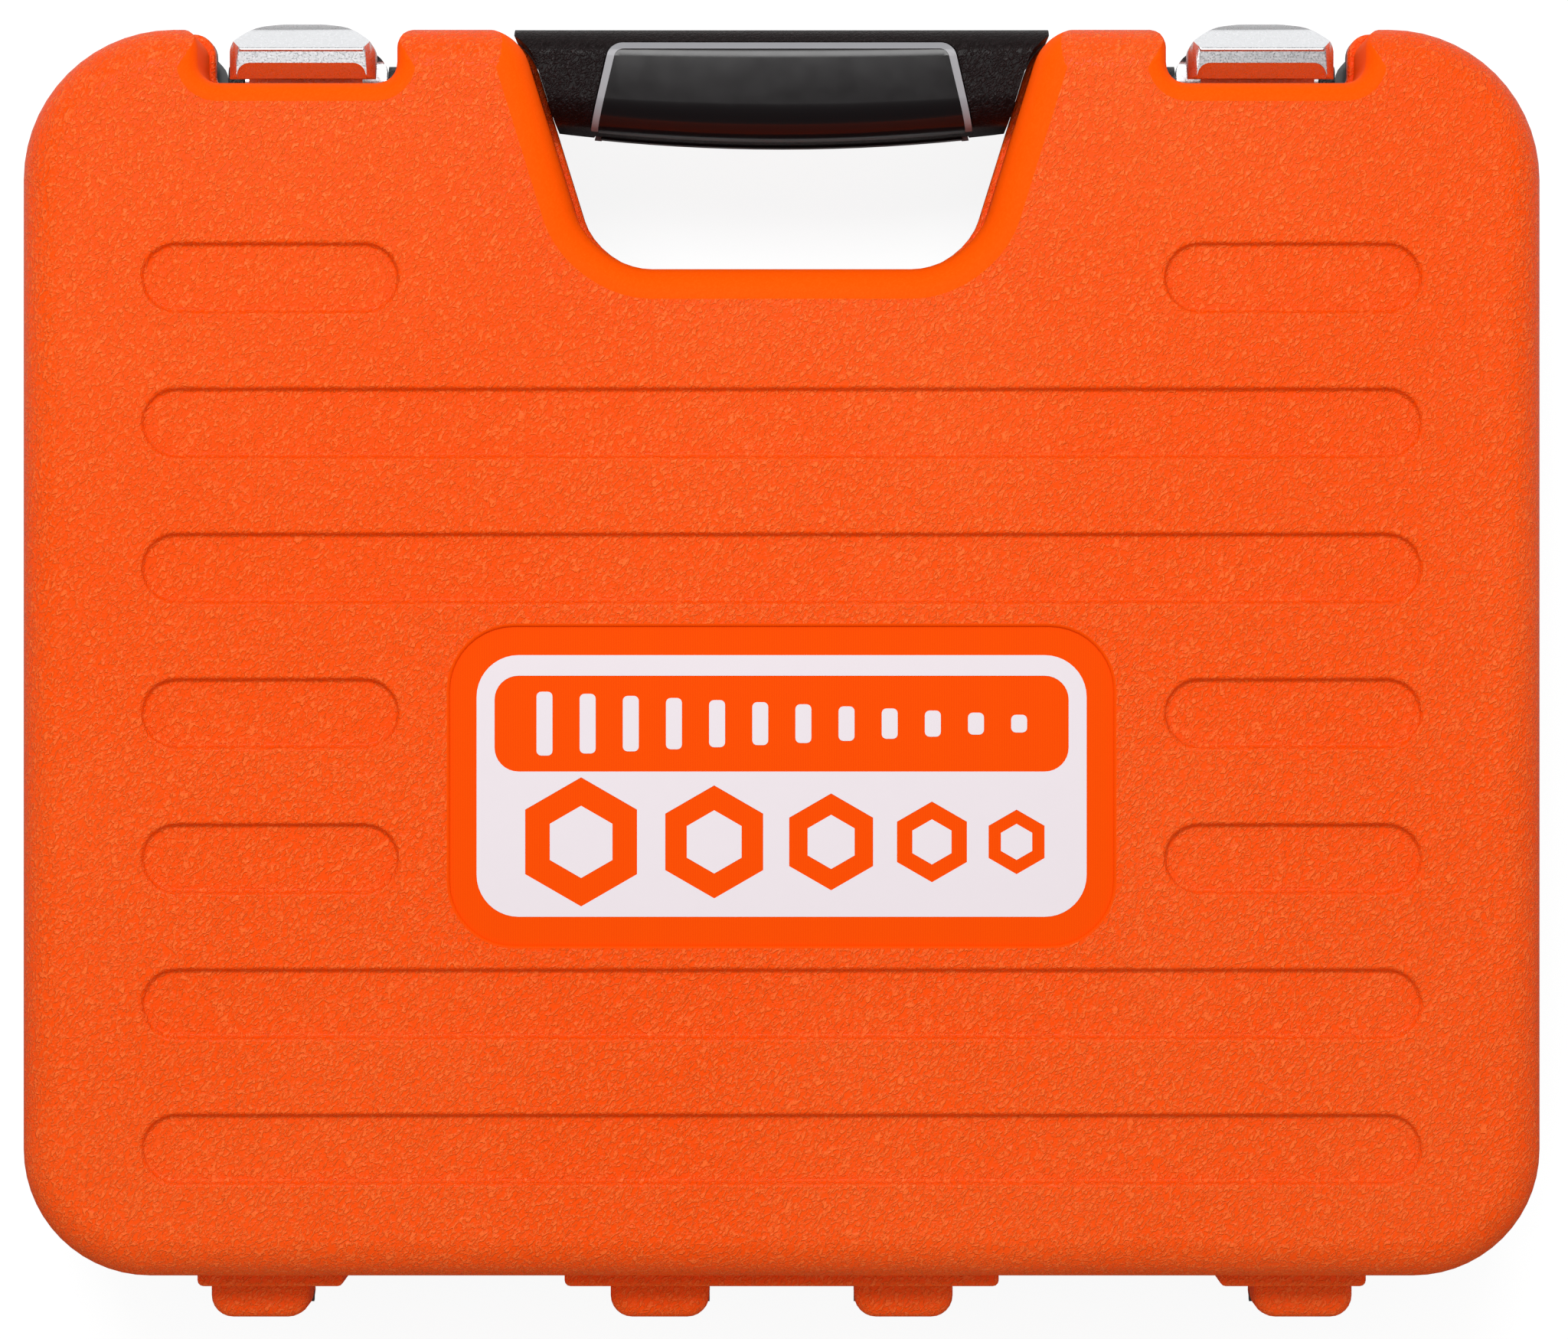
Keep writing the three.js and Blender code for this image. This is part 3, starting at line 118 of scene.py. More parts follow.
lid_low, lid_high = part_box("lid_shell")
CASE_Y = lid_high.y * 1000 - TOP_Y - RIM_PROUD
print("the case's middle lies", round(CASE_Y, 2), "mm behind the origin")

# %% [markdown]
# ## Shaping helpers
#
# Most of the case is made of flat outlines with rounded corners that are carried upwards.
# An outline starts as a few points joined into one face, and each point is bevelled by its own
# radius. The face is then extruded and inset in small steps: a quarter circle of steps gives a
# rounded edge, and the same steps in another order give the rounded lip of a hollow.

# %% Outlines
def rounded_face(bm, corners, z=0.0, segments=8):
    """A flat face at a height whose corners (x, y, radius) are rounded, anticlockwise."""
    verts = [bm.verts.new((x, y, z)) for x, y, _ in corners]
    bm.faces.new(verts)
    count = len(corners)
    for i, (x, y, radius) in enumerate(corners):
        if radius <= 0:
            continue
        before = Vector(corners[i - 1][:2]) - Vector((x, y))
        after = Vector(corners[(i + 1) % count][:2]) - Vector((x, y))
        reach = radius / math.tan(before.angle(after) / 2)
        bmesh.ops.bevel(bm, geom=[verts[i]], offset=reach, offset_type="OFFSET", profile=0.5,
                        segments=segments, affect="VERTICES", material=-1, clamp_overlap=False)
    bmesh.ops.remove_doubles(bm, verts=bm.verts[:], dist=0.05)
    return bm.faces[:][0]


def rectangle(x, y, width, height, radius):
    """Corners of a rounded rectangle centred on x, y."""
    w, h = width / 2, height / 2
    return [(x - w, y - h, radius), (x + w, y - h, radius), (x + w, y + h, radius), (x - w, y + h, radius)]


def grow(corners, distance):
    """The outline moved outwards by a distance, or inwards by a negative one."""
    moved = []
    count = len(corners)
    for i, (x, y, radius) in enumerate(corners):
        here = Vector((x, y))
        along = (here - Vector(corners[i - 1][:2])).normalized()
        onward = (Vector(corners[(i + 1) % count][:2]) - here).normalized()
        out_1 = Vector((along.y, -along.x))
        out_2 = Vector((onward.y, -onward.x))
        here += (out_1 + out_2) * distance / (1 + out_1.dot(out_2))
        turns_left = along.x * onward.y - along.y * onward.x > 0
        wider = radius + distance if turns_left else radius - distance
        moved.append((here.x, here.y, max(wider, 0.3) if radius else 0))
    return moved


def climb(bm, face, lift, steps=()):
    """Extrudes a face upwards, then insets and lifts its top by each (inset, lift) in turn."""
    made = bmesh.ops.extrude_face_region(bm, geom=[face])
    top = next(item for item in made["geom"] if isinstance(item, bmesh.types.BMFace))
    bmesh.ops.translate(bm, verts=top.verts[:], vec=(0, 0, lift))
    for inset, rise in steps:
        bmesh.ops.inset_region(bm, faces=[top], thickness=max(inset, 0.0002), depth=rise,
                               use_even_offset=True, use_boundary=True)
    return top


def arc(radius, start, end, segments):
    """Changes of (cosine, sine) along an arc of a radius between two angles in degrees."""
    angles = [math.radians(start + (end - start) * k / segments) for k in range(segments + 1)]
    points = [(radius * math.cos(a), radius * math.sin(a)) for a in angles]
    return [(b[0] - a[0], b[1] - a[1]) for a, b in zip(points, points[1:])]


def rounded_edge(radius, segments=6):
    """Steps that turn an upright wall over into a flat top."""
    return [(-dx, dy) for dx, dy in arc(radius, 0, 90, segments)]


def rounded_lip(radius, segments=5):
    """Steps that turn a flat rim over into the upright wall of a hollow."""
    return [(dy, -dx) for dx, dy in arc(radius, 0, 90, segments)]


# %% Whole solids
def new_solid(corners, z, lift, steps=(), segments=8):
    """A solid that climbs from an outline at a height."""
    bm = bmesh.new()
    climb(bm, rounded_face(bm, corners, z, segments), lift, steps)
    bmesh.ops.recalc_face_normals(bm, faces=bm.faces[:])
    return bm


def hollow(corners, surface_z, depth, lip, draft=0.0, fillet=0.0, above=2.0, segments=8, lip_steps=4):
    """The solid that leaves a hollow with a rounded lip, draft and a fillet along its floor."""
    steps = rounded_lip(lip, lip_steps) if lip else []
    steps.append((draft, depth - lip - fillet))
    if fillet:
        steps += rounded_edge(fillet, 4)
    bm = new_solid(grow(corners, lip), -above, above, steps, segments)
    bmesh.ops.scale(bm, vec=(1, 1, -1), verts=bm.verts[:])
    bmesh.ops.translate(bm, vec=(0, 0, surface_z), verts=bm.verts[:])
    bmesh.ops.recalc_face_normals(bm, faces=bm.faces[:])
    return bm


def pressed(corners, surface_z, depth, radius=0.9, slope=70, above=2.0, segments=8):
    """The solid that leaves a shallow pressing with sloped walls, rounded at their top and foot."""
    over = arc(radius, 90, 90 - slope, 3)
    drop = depth - 2 * sum(-dy for dx, dy in over)
    steps = [(dx, -dy) for dx, dy in over] + [(drop / math.tan(math.radians(slope)), drop)]
    steps += [(dx, -dy) for dx, dy in reversed(over)]
    bm = new_solid(corners, -above, above, steps, segments)
    bmesh.ops.scale(bm, vec=(1, 1, -1), verts=bm.verts[:])
    bmesh.ops.translate(bm, vec=(0, 0, surface_z), verts=bm.verts[:])
    bmesh.ops.recalc_face_normals(bm, faces=bm.faces[:])
    return bm


def block(x0, x1, y0, y1, z0, z1):
    """A plain box between two corners."""
    bm = bmesh.new()
    size = Matrix.Diagonal((x1 - x0, y1 - y0, z1 - z0, 1))
    middle = Matrix.Translation(((x0 + x1) / 2, (y0 + y1) / 2, (z0 + z1) / 2))
    bmesh.ops.create_cube(bm, size=1, matrix=middle @ size)
    return bm


def rod(radius, length, middle, axis="Z", sides=32, end_radius=None):
    """A round or many-sided bar centred on a point, along one axis."""
    bm = bmesh.new()
    turn = {"Z": Matrix.Identity(4), "X": Matrix.Rotation(math.pi / 2, 4, "Y"),
            "Y": Matrix.Rotation(-math.pi / 2, 4, "X")}[axis]
    bmesh.ops.create_cone(bm, cap_ends=True, segments=sides, radius1=radius,
                          radius2=radius if end_radius is None else end_radius, depth=length,
                          matrix=Matrix.Translation(middle) @ turn)
    return bm


def turned(profile, middle=(0, 0, 0), axis="Z", sides=40):
    """A lathe piece from its (radius, height) outline, which starts and ends on the axis."""
    bm = bmesh.new()
    points = [bm.verts.new((r, 0, z)) for r, z in profile]
    edges = [bm.edges.new(pair) for pair in zip(points, points[1:])]
    bmesh.ops.spin(bm, geom=points + edges, cent=(0, 0, 0), axis=(0, 0, 1), dvec=(0, 0, 0),
                   angle=2 * math.pi, steps=sides, use_merge=True)
    bmesh.ops.remove_doubles(bm, verts=bm.verts[:], dist=0.0005)
    turn = {"Z": Matrix.Identity(4), "X": Matrix.Rotation(math.pi / 2, 4, "Y"),
            "-X": Matrix.Rotation(-math.pi / 2, 4, "Y")}[axis]
    bm.transform(Matrix.Translation(middle) @ turn)
    bmesh.ops.recalc_face_normals(bm, faces=bm.faces[:])
    return bm


# %% [markdown]
# Pieces are joined and cut with Blender's exact boolean, which keeps a wall closed however many
# hollows go into it. The faces that a cutter leaves keep the cutter's material number, so a
# smooth finish inside a recess needs no painting afterwards.

# %% Joining and cutting
def as_object(name, bm, materials=()):
    """A new object from a bmesh, which is used up."""
    mesh = bpy.data.meshes.new(name)
    bm.to_mesh(mesh)
    bm.free()
    for material in materials:
        mesh.materials.append(material)
    obj = bpy.data.objects.new(name, mesh)
    bpy.context.scene.collection.objects.link(obj)
    return obj


SLOT_STANDS = [bpy.data.materials.new(f"stand_{number}") for number in range(3)]


def combine(bm, other, operation, overlapping=False):
    """The exact union, difference or intersection of two solids, whose own parts may overlap."""
    target = as_object("target", bm, SLOT_STANDS)
    tool = as_object("tool", other, SLOT_STANDS)
    step = target.modifiers.new("combine", "BOOLEAN")
    step.operation = operation
    step.solver = "EXACT"
    step.use_self = overlapping
    step.object = tool
    graph = bpy.context.evaluated_depsgraph_get()
    mesh = bpy.data.meshes.new_from_object(target.evaluated_get(graph))
    result = bmesh.new()
    result.from_mesh(mesh)
    for obj in (target, tool):
        old = obj.data
        bpy.data.objects.remove(obj)
        bpy.data.meshes.remove(old)
    bpy.data.meshes.remove(mesh)
    return result


def joined(bm, *others):
    """The union of solids."""
    for other in others:
        bm = combine(bm, other, "UNION")
    return bm


def cut(bm, *others):
    """A solid with others cut out of it."""
    for other in others:
        bm = combine(bm, other, "DIFFERENCE")
    return bm


def gather(*solids):
    """Several solids that don't touch, as one bmesh."""
    whole = bmesh.new()
    for solid in solids:
        mesh = bpy.data.meshes.new("gather")
        solid.to_mesh(mesh)
        solid.free()
        whole.from_mesh(mesh)
        bpy.data.meshes.remove(mesh)
    return whole


def painted(bm, number):
    """The same solid with every face on one material number."""
    for face in bm.faces:
        face.material_index = number
    return bm


# %% [markdown]
# A finished piece is scaled to metres, moved to the case's place in the frame, given its
# materials, and told which body it rides on. Its normals lean on its large flat faces, so that
# a flat wall stays flat beside a rounded edge.

# %% Finishing a piece
TO_FRAME = Matrix.Translation((0, CASE_Y / 1000, 0)) @ Matrix.Diagonal((0.001, 0.001, 0.001, 1))


def finish_piece(name, bm, materials, body, stands_for=(), place=TO_FRAME, sharp=38, broken=0.0):
    """Turns a bmesh in millimetres into a piece of the object, its sharp edges broken by so many mm."""
    weld = 0.0005
    bmesh.ops.remove_doubles(bm, verts=bm.verts[:], dist=weld)
    bmesh.ops.dissolve_degenerate(bm, edges=bm.edges[:], dist=weld)
    bm.transform(place)
    if place.determinant() < 0:
        bmesh.ops.reverse_faces(bm, faces=bm.faces[:])
    limit = math.radians(sharp)
    for face in bm.faces:
        face.smooth = True
    for edge in bm.edges:
        edge.smooth = len(edge.link_faces) == 2 and edge.calc_face_angle(0) < limit
    triangles = sum(len(face.verts) - 2 for face in bm.faces)
    open_edges = sum(1 for edge in bm.edges if len(edge.link_faces) != 2)
    obj = as_object(name, bm, materials)
    if broken:
        step = obj.modifiers.new("broken_edges", "BEVEL")
        step.width = broken / 1000
        step.segments = 2
        step.limit_method = "ANGLE"
        step.angle_limit = limit
        step.miter_outer = "MITER_ARC"
    step = obj.modifiers.new("normals", "WEIGHTED_NORMAL")
    step.mode = "FACE_AREA"
    step.weight = 60
    step.keep_sharp = True
    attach(obj, body)
    if stands_for:
        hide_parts(*stands_for)
    print(f"{name}: {triangles} triangles, {open_edges} open edges")
    return obj

# %% [markdown]
# ## Finishes
#
# Every finish is built from nodes. The colours are written as they look on a screen and turned
# to linear light by one function. The patterns read Object coordinates, and since every piece
# keeps its place in its mesh, those are metres in the frame: a pattern with cells of so many
# millimetres has a scale of a thousand over that number.

# %% Nodes and colours
def linear(code):
    """A screen colour such as #f75a10 as linear red, green, blue and alpha."""
    shares = [int(code[i:i + 2], 16) / 255 for i in (1, 3, 5)]
    return (*[s / 12.92 if s <= 0.04045 else ((s + 0.055) / 1.055) ** 2.4 for s in shares], 1.0)


def add_node(tree, kind, inputs=None, **settings):
    """Adds a node. Each input is a value, or another node's output to link it to."""
    node = tree.nodes.new("ShaderNode" + kind)
    for name, value in settings.items():
        setattr(node, name, value)
    for key, value in (inputs or {}).items():
        if isinstance(value, bpy.types.NodeSocket):
            tree.links.new(value, node.inputs[key])
        else:
            node.inputs[key].default_value = value
    return node


def start_finish(name, inputs):
    """A material with one shader, and its node tree."""
    material = bpy.data.materials.new(name)
    material.use_nodes = True
    tree = material.node_tree
    tree.nodes.clear()
    shader = add_node(tree, "BsdfPrincipled", inputs)
    add_node(tree, "OutputMaterial", {"Surface": shader.outputs["BSDF"]})
    return material, tree, shader


# %% [markdown]
# The case is blow-moulded high-density polyethylene. Its mould is etched with a leather grain:
# low, winding strokes about a millimetre apart and twice as long, drawn out in one slanted
# direction. Their flanks catch the lamp, and their ridges are painted a shade paler and pinker,
# a painted highlight that stands for the lamp's sheen on them. Where a hand or a latch goes, the
# mould is only blasted, so the plastic is smooth there.

# %% Moulded plastic
STROKE_LENGTH = 1.8
STROKE_SLANT = math.radians(52)


def moulded(name, ridge_with_sheen, valley, spacing_mm, height_mm, roughness, level=0.3):
    """Moulded plastic with short winding strokes of a spacing and height in millimetres; the paler colour on their
    ridges is partly painted sheen.
    """
    material, tree, shader = start_finish(name, {"Roughness": roughness, "Specular IOR Level": level})
    place = add_node(tree, "TexCoord").outputs["Object"]
    drawn_out = add_node(tree, "Mapping", {"Vector": place, "Rotation": (0, 0, STROKE_SLANT),
                                           "Scale": (STROKE_LENGTH, 1, 1)}, vector_type="TEXTURE").outputs["Vector"]
    field = add_node(tree, "TexNoise", {"Vector": drawn_out, "Scale": 1000 / (0.7 * spacing_mm), "Detail": 1.0,
                                        "Roughness": 0.45, "Distortion": 1.1}).outputs["Fac"]
    ridges = add_node(tree, "MapRange", {"Value": field, "From Min": 0.38, "From Max": 0.72},
                      interpolation_type="SMOOTHSTEP").outputs["Result"]
    drift = add_node(tree, "TexNoise", {"Vector": place, "Scale": 9.0, "Detail": 3.0}).outputs["Fac"]
    shade = add_node(tree, "MapRange", {"Value": drift, "From Min": 0.3, "From Max": 0.7,
                                        "To Min": -0.15, "To Max": 0.15}).outputs["Result"]
    share = add_node(tree, "Math", {0: ridges, 1: shade}, operation="ADD", use_clamp=True).outputs["Value"]
    # The ridges get the paler colour: partly the grain's own tone, partly a painted highlight for the lamp's sheen on
    # them.
    mixed = add_node(tree, "Mix", {"Factor": share, "A": linear(valley), "B": linear(ridge_with_sheen)}, data_type="RGBA")
    tree.links.new(mixed.outputs["Result"], shader.inputs["Base Color"])
    bump = add_node(tree, "Bump", {"Height": ridges, "Distance": height_mm / 1000, "Strength": 1.0})
    tree.links.new(bump.outputs["Normal"], shader.inputs["Normal"])
    return material


# The orange's pale pink colour on the ridges is painted sheen, a painted highlight laid over the grain.
ORANGE_GRAINED = moulded("hdpe_orange_leather_grain", "#ff6a28", "#fd4e00", 1.1, 0.25, 0.3, 0.12)
ORANGE_SMOOTH = moulded("hdpe_orange_smooth", "#ff5a04", "#fd5500", 0.7, 0.006, 0.6, 0.03)
DARK_GRAINED = moulded("hdpe_charcoal_leather_grain", "#38393c", "#2b2c2f", 1.1, 0.22, 0.36)
DARK_SMOOTH = moulded("hdpe_charcoal_smooth", "#303134", "#2c2d30", 0.7, 0.006, 0.46)
GRIP_BLACK = moulded("polypropylene_black_coarse_grain", "#1c1314", "#100808", 0.95, 0.17, 0.33, 0.12)
SOFT_BLACK = moulded("elastomer_black_matt", "#202022", "#18181a", 0.7, 0.03, 0.6)
SOFT_ORANGE = moulded("elastomer_orange_matt", "#fb5808", "#f34c04", 0.7, 0.03, 0.55, 0.2)
TRAY_GRAINED = moulded("polypropylene_charcoal_grained", "#393a3d", "#303134", 0.8, 0.05, 0.5)
TRAY_SMOOTH = moulded("polypropylene_charcoal_smooth", "#303134", "#2b2c2f", 0.6, 0.01, 0.42)
BLOCK_BLACK = moulded("polypropylene_black_fine_grain", "#262628", "#1b1b1d", 0.6, 0.02, 0.5)
print("moulded plastics:", ORANGE_GRAINED.name, DARK_GRAINED.name, GRIP_BLACK.name)

# %% [markdown]
# The label's panel is milled in the mould with a fine straight cutter, so its smooth plastic
# shows faint upright lines half a millimetre apart.

# %% Panel with cutter lines
ORANGE_LINED, tree, shader = start_finish("hdpe_orange_cutter_lines", {"Roughness": 0.5, "Specular IOR Level": 0.03})
place = add_node(tree, "TexCoord").outputs["Object"]
WAVE_PERIOD = math.pi / 10
lines = add_node(tree, "TexWave", {"Vector": place, "Scale": WAVE_PERIOD / 0.0006, "Distortion": 1.2, "Detail": 2.0,
                                   "Detail Scale": 0.02}, bands_direction="X").outputs["Fac"]
mixed = add_node(tree, "Mix", {"Factor": lines, "A": linear("#f44900"), "B": linear("#f74f00")}, data_type="RGBA")
tree.links.new(mixed.outputs["Result"], shader.inputs["Base Color"])
bump = add_node(tree, "Bump", {"Height": lines, "Distance": 0.000015, "Strength": 1.0})
tree.links.new(bump.outputs["Normal"], shader.inputs["Normal"])
print("panel:", ORANGE_LINED.name)

# %% [markdown]
# The handle's cover plate is polished ABS: nearly black, slightly brown where it turns away, and
# glossy enough to mirror the room, with faint wipe marks in its gloss. The pale line along its
# edge is a printed border. The label's white is a thick screen print, so it lies a little proud
# of the plastic and has its own dull sheen.

# %% Polished plastic and print
def glossy(name, colour, roughness, level=0.5):
    """Polished or printed plastic, whose gloss varies a little over a few millimetres."""
    material, tree, shader = start_finish(name, {"Specular IOR Level": level, "Base Color": linear(colour)})
    place = add_node(tree, "TexCoord").outputs["Object"]
    haze = add_node(tree, "TexNoise", {"Vector": place, "Scale": 160.0, "Detail": 4.0}).outputs["Fac"]
    rough = add_node(tree, "MapRange", {"Value": haze, "To Min": roughness * 0.75,
                                        "To Max": roughness * 1.25}).outputs["Result"]
    tree.links.new(rough, shader.inputs["Roughness"])
    return material


COVER_BLACK = glossy("abs_black_polished", "#161314", 0.2, 0.35)
COVER_EDGE = glossy("printed_border_grey", "#8f8f93", 0.35)
PRINT_WHITE = glossy("screen_print_white", "#e9dfe4", 0.42, 0.4)
print("polished finishes:", COVER_BLACK.name, COVER_EDGE.name, PRINT_WHITE.name)


# %% [markdown]
# The metals share one recipe: a metallic shader whose roughness is broken up by fine streaks or
# specks. Sockets are chromed over a tumbled surface, so they mirror softly. Ratchet heads are
# satin chromed. Pins are bright zinc plate, the bits are phosphated steel, and the latches are
# die castings with a silver satin plate.

# %% Plated metals
def metal(name, colour, roughness, grain_mm, stretch=(1, 1, 1), height_mm=0.0, spread=0.3):
    """Plated metal whose roughness varies in grains of a size, stretched along the axes."""
    material, tree, shader = start_finish(name, {"Metallic": 1.0, "Base Color": linear(colour)})
    place = add_node(tree, "TexCoord").outputs["Object"]
    laid = add_node(tree, "Mapping", {"Vector": place, "Scale": stretch}).outputs["Vector"]
    grain = add_node(tree, "TexNoise", {"Vector": laid, "Scale": 1000 / grain_mm, "Detail": 3.0})
    grain = grain.outputs["Fac"]
    rough = add_node(tree, "MapRange", {"Value": grain, "From Min": 0.25, "From Max": 0.75,
                                        "To Min": roughness * (1 - spread), "To Max": roughness * (1 + spread)})
    tree.links.new(rough.outputs["Result"], shader.inputs["Roughness"])
    if height_mm:
        bump = add_node(tree, "Bump", {"Height": grain, "Distance": height_mm / 1000, "Strength": 1.0})
        tree.links.new(bump.outputs["Normal"], shader.inputs["Normal"])
    return material


LATCH_SILVER = metal("zinc_casting_satin_silver", "#e9eaec", 0.32, 0.45, height_mm=0.010)
CHROME = metal("chrome_plate_bright", "#dfe0e2", 0.14, 1.2, height_mm=0.002)
SATIN_CHROME = metal("chrome_plate_satin", "#cfd0d3", 0.3, 0.5, height_mm=0.004)
ZINC = metal("zinc_plate_bright", "#c3c6c9", 0.32, 0.8)
BIT_STEEL = metal("phosphated_tool_steel", "#6f6d6a", 0.42, 0.5, height_mm=0.004)
print("metals:", LATCH_SILVER.name, CHROME.name, SATIN_CHROME.name, ZINC.name, BIT_STEEL.name)

# %% [markdown]
# ## The two halves of the case
#
# Both halves come out of the same mould design. A half is a shallow dome with a rounded edge.
# The finger gap and the two latch recesses are notches in its top side. They flare out past
# their rounded mouths, so that the cut runs smoothly into the side wall. A raised rim follows
# the whole outline along the parting line, and the wall behind it all is 3 mm thick.

# %% Outlines of the case
PLAIN = [(-SIDE_X, -TOP_Y, BOTTOM_CORNER), (SIDE_X, -TOP_Y, BOTTOM_CORNER),
         (SIDE_X, TOP_Y, TOP_CORNER), (-SIDE_X, TOP_Y, TOP_CORNER)]


def recess_corners(x):
    """A latch recess in the top side: left mouth, left floor, right floor, right mouth."""
    left, right = x - RECESS_WIDTH / 2, x + RECESS_WIDTH / 2
    return [(left, TOP_Y, RECESS_MOUTH_CORNER), (left, RECESS_FLOOR_Y, RECESS_FLOOR_CORNER),
            (right, RECESS_FLOOR_Y, RECESS_FLOOR_CORNER), (right, TOP_Y, RECESS_MOUTH_CORNER)]


GAP = [(-GAP_MOUTH_HALF, TOP_Y, GAP_MOUTH_CORNER), (-GAP_FLOOR_HALF, GAP_FLOOR_Y, GAP_FLOOR_CORNER),
       (GAP_FLOOR_HALF, GAP_FLOOR_Y, GAP_FLOOR_CORNER), (GAP_MOUTH_HALF, TOP_Y, GAP_MOUTH_CORNER)]
OUTLINE = [*PLAIN[:3], *recess_corners(LATCH_X)[::-1], *GAP[::-1], *recess_corners(-LATCH_X)[::-1], PLAIN[3]]


def notch(corners, past=24.0):
    """The cutter outline of a notch in the top side, flared past its mouth."""
    left, right = corners[0], corners[-1]
    line = TOP_Y + 0.02
    return [corners[1], corners[2], (right[0], line, right[2]), (right[0] + past, line, 0),
            (right[0] + past, line + past, 0), (left[0] - past, line + past, 0),
            (left[0] - past, line, 0), (left[0], line, left[2])]


def groove_rectangles(short_rows):
    """The rounded rectangles of the stiffening grooves, where a short row has one at each end."""
    middle = (GROOVE_SPAN - GROOVE_SHORT) / 2
    for row in range(GROOVE_ROWS):
        y = GROOVE_FIRST_Y - row * GROOVE_PITCH
        if row in short_rows:
            for x in (-middle, middle):
                yield rectangle(x, y, GROOVE_SHORT, GROOVE_WIDTH, GROOVE_WIDTH / 2 - 0.01)
        else:
            yield rectangle(0, y, GROOVE_SPAN, GROOVE_WIDTH, GROOVE_WIDTH / 2 - 0.01)


# %% One half of the case
def case_half(depth, short_rows):
    """A half with its parting line at height 0 and its face at a depth."""
    body = new_solid(PLAIN, -2, depth + 2 - FACE_ROUND, rounded_edge(FACE_ROUND, 8), segments=14)
    gap = hollow(notch(GAP), depth, depth + 6, GAP_ROUND, segments=10, lip_steps=8)
    recesses = gather(*[hollow(notch(recess_corners(x), 20), depth, depth + 6, RECESS_LIP, segments=6, lip_steps=6)
                        for x in (-LATCH_X, LATCH_X)])
    grooves = gather(*[pressed(grow(corners, GROOVE_LIP), depth, GROOVE_DEPTH)
                       for corners in groove_rectangles(short_rows)])
    body = cut(body, painted(gap, 1), painted(recesses, 1), grooves)
    rim = new_solid(grow(OUTLINE, RIM_PROUD), -2, RIM_HEIGHT + 1, rounded_edge(1, 3))
    pads = gather(*[new_solid(rectangle((x0 + x1) / 2, (PAD_Y - TOP_Y + WALL) / 2, x1 - x0,
                                        -TOP_Y + WALL - PAD_Y, 1.5),
                              -2, PAD_HEIGHT + 0.8, rounded_edge(1.2, 3), 3) for x0, x1 in PAD_SPANS])
    cavity = combine(new_solid(grow(PLAIN, -WALL), -4, depth - WALL + 4 - CAVITY_ROUND,
                               rounded_edge(CAVITY_ROUND, 4)),
                     new_solid(grow(OUTLINE, -WALL), -5, depth + 10), "INTERSECT")
    below = block(-2 * SIDE_X, 2 * SIDE_X, -2 * SIDE_X, 2 * SIDE_X, -8, PARTING_GAP / 2)
    return cut(joined(body, rim, pads), painted(cavity, 1), below)


PIN_BORE = PIN_RADIUS + 0.25
hinge_bore = (PIN_BORE, 2 * SIDE_X, (0, HINGE_Y, 0), "X", 16)

# %% [markdown]
# The lid's knuckles are two ears each, joined by an arm that passes over the base's barrel. Its
# panel is a shallow smooth field for the label.

# %% The lid
LID_PLACE = TO_FRAME @ Matrix.Translation((0, 0, PARTING_Z))
BASE_PLACE = LID_PLACE @ Matrix.Diagonal((1, 1, -1, 1))


def lid_knuckle(x):
    """Two ears on the hinge line and the arm over them, rounded together in plan."""
    half = KNUCKLE_WIDTH / 2
    ear = (KNUCKLE_WIDTH - BASE_BARREL_WIDTH) / 2 - 0.3
    foot, root = HINGE_Y - KNUCKLE_BARREL, -TOP_Y + WALL / 2
    solid = new_solid(rectangle(x, (foot + root) / 2, KNUCKLE_WIDTH, root - foot, 5.5), KNUCKLE_BARREL + 0.7,
                      KNUCKLE_ARM_TOP - KNUCKLE_BARREL - 0.7 - 3, rounded_edge(3, 4), 6)
    for x0 in (x - half, x + half - ear):
        solid = joined(solid, rod(KNUCKLE_BARREL, ear, (x0 + ear / 2, HINGE_Y, 0), "X"),
                       block(x0 + 0.001, x0 + ear - 0.001, HINGE_Y - KNUCKLE_BARREL * 0.98, PAD_Y + 1,
                             PARTING_GAP / 2, KNUCKLE_ARM_TOP - 6))
    plan = new_solid([(x - half, foot - 0.01, 5), (x + half, foot - 0.01, 5), (x + half, root + 1, 0),
                      (x - half, root + 1, 0)], -2 * KNUCKLE_BARREL, 2 * KNUCKLE_ARM_TOP, segments=6)
    return combine(solid, plan, "INTERSECT")


lid = joined(case_half(LID_DEPTH, (0, 3, 4)), *[lid_knuckle(x) for x in KNUCKLE_X])
lid = cut(lid, painted(hollow(rectangle(*PANEL), LID_DEPTH, PANEL_DEPTH, 0.8, segments=10), 2), rod(*hinge_bore))
finish_piece("lid_skin", lid, [ORANGE_GRAINED, ORANGE_SMOOTH, ORANGE_LINED], "lid", ["lid_shell"], LID_PLACE)

# %% [markdown]
# The base is the same half turned over, in charcoal. It carries the hinge barrels, the ears that
# hold each latch's pin, and the bores for the handle's pins.

# %% The base
def latch_ears(x):
    """The two ears beside a latch, with their rounded ends on the pin."""
    y, z = LATCH_PIVOT[0], BASE_DEPTH - LATCH_PIVOT[1]
    inner = LATCH_WIDTH / 2 + LATCH_GAP
    radius = LATCH_BARREL
    solids = []
    for side in (-1, 1):
        x0, x1 = sorted((x + side * inner, x + side * (inner + LATCH_EAR)))
        solids.append(block(x0, x1, RECESS_FLOOR_Y - WALL / 2, y, z - radius, z + radius))
        solids.append(rod(radius, LATCH_EAR, ((x0 + x1) / 2, y, z), "X"))
    return solids


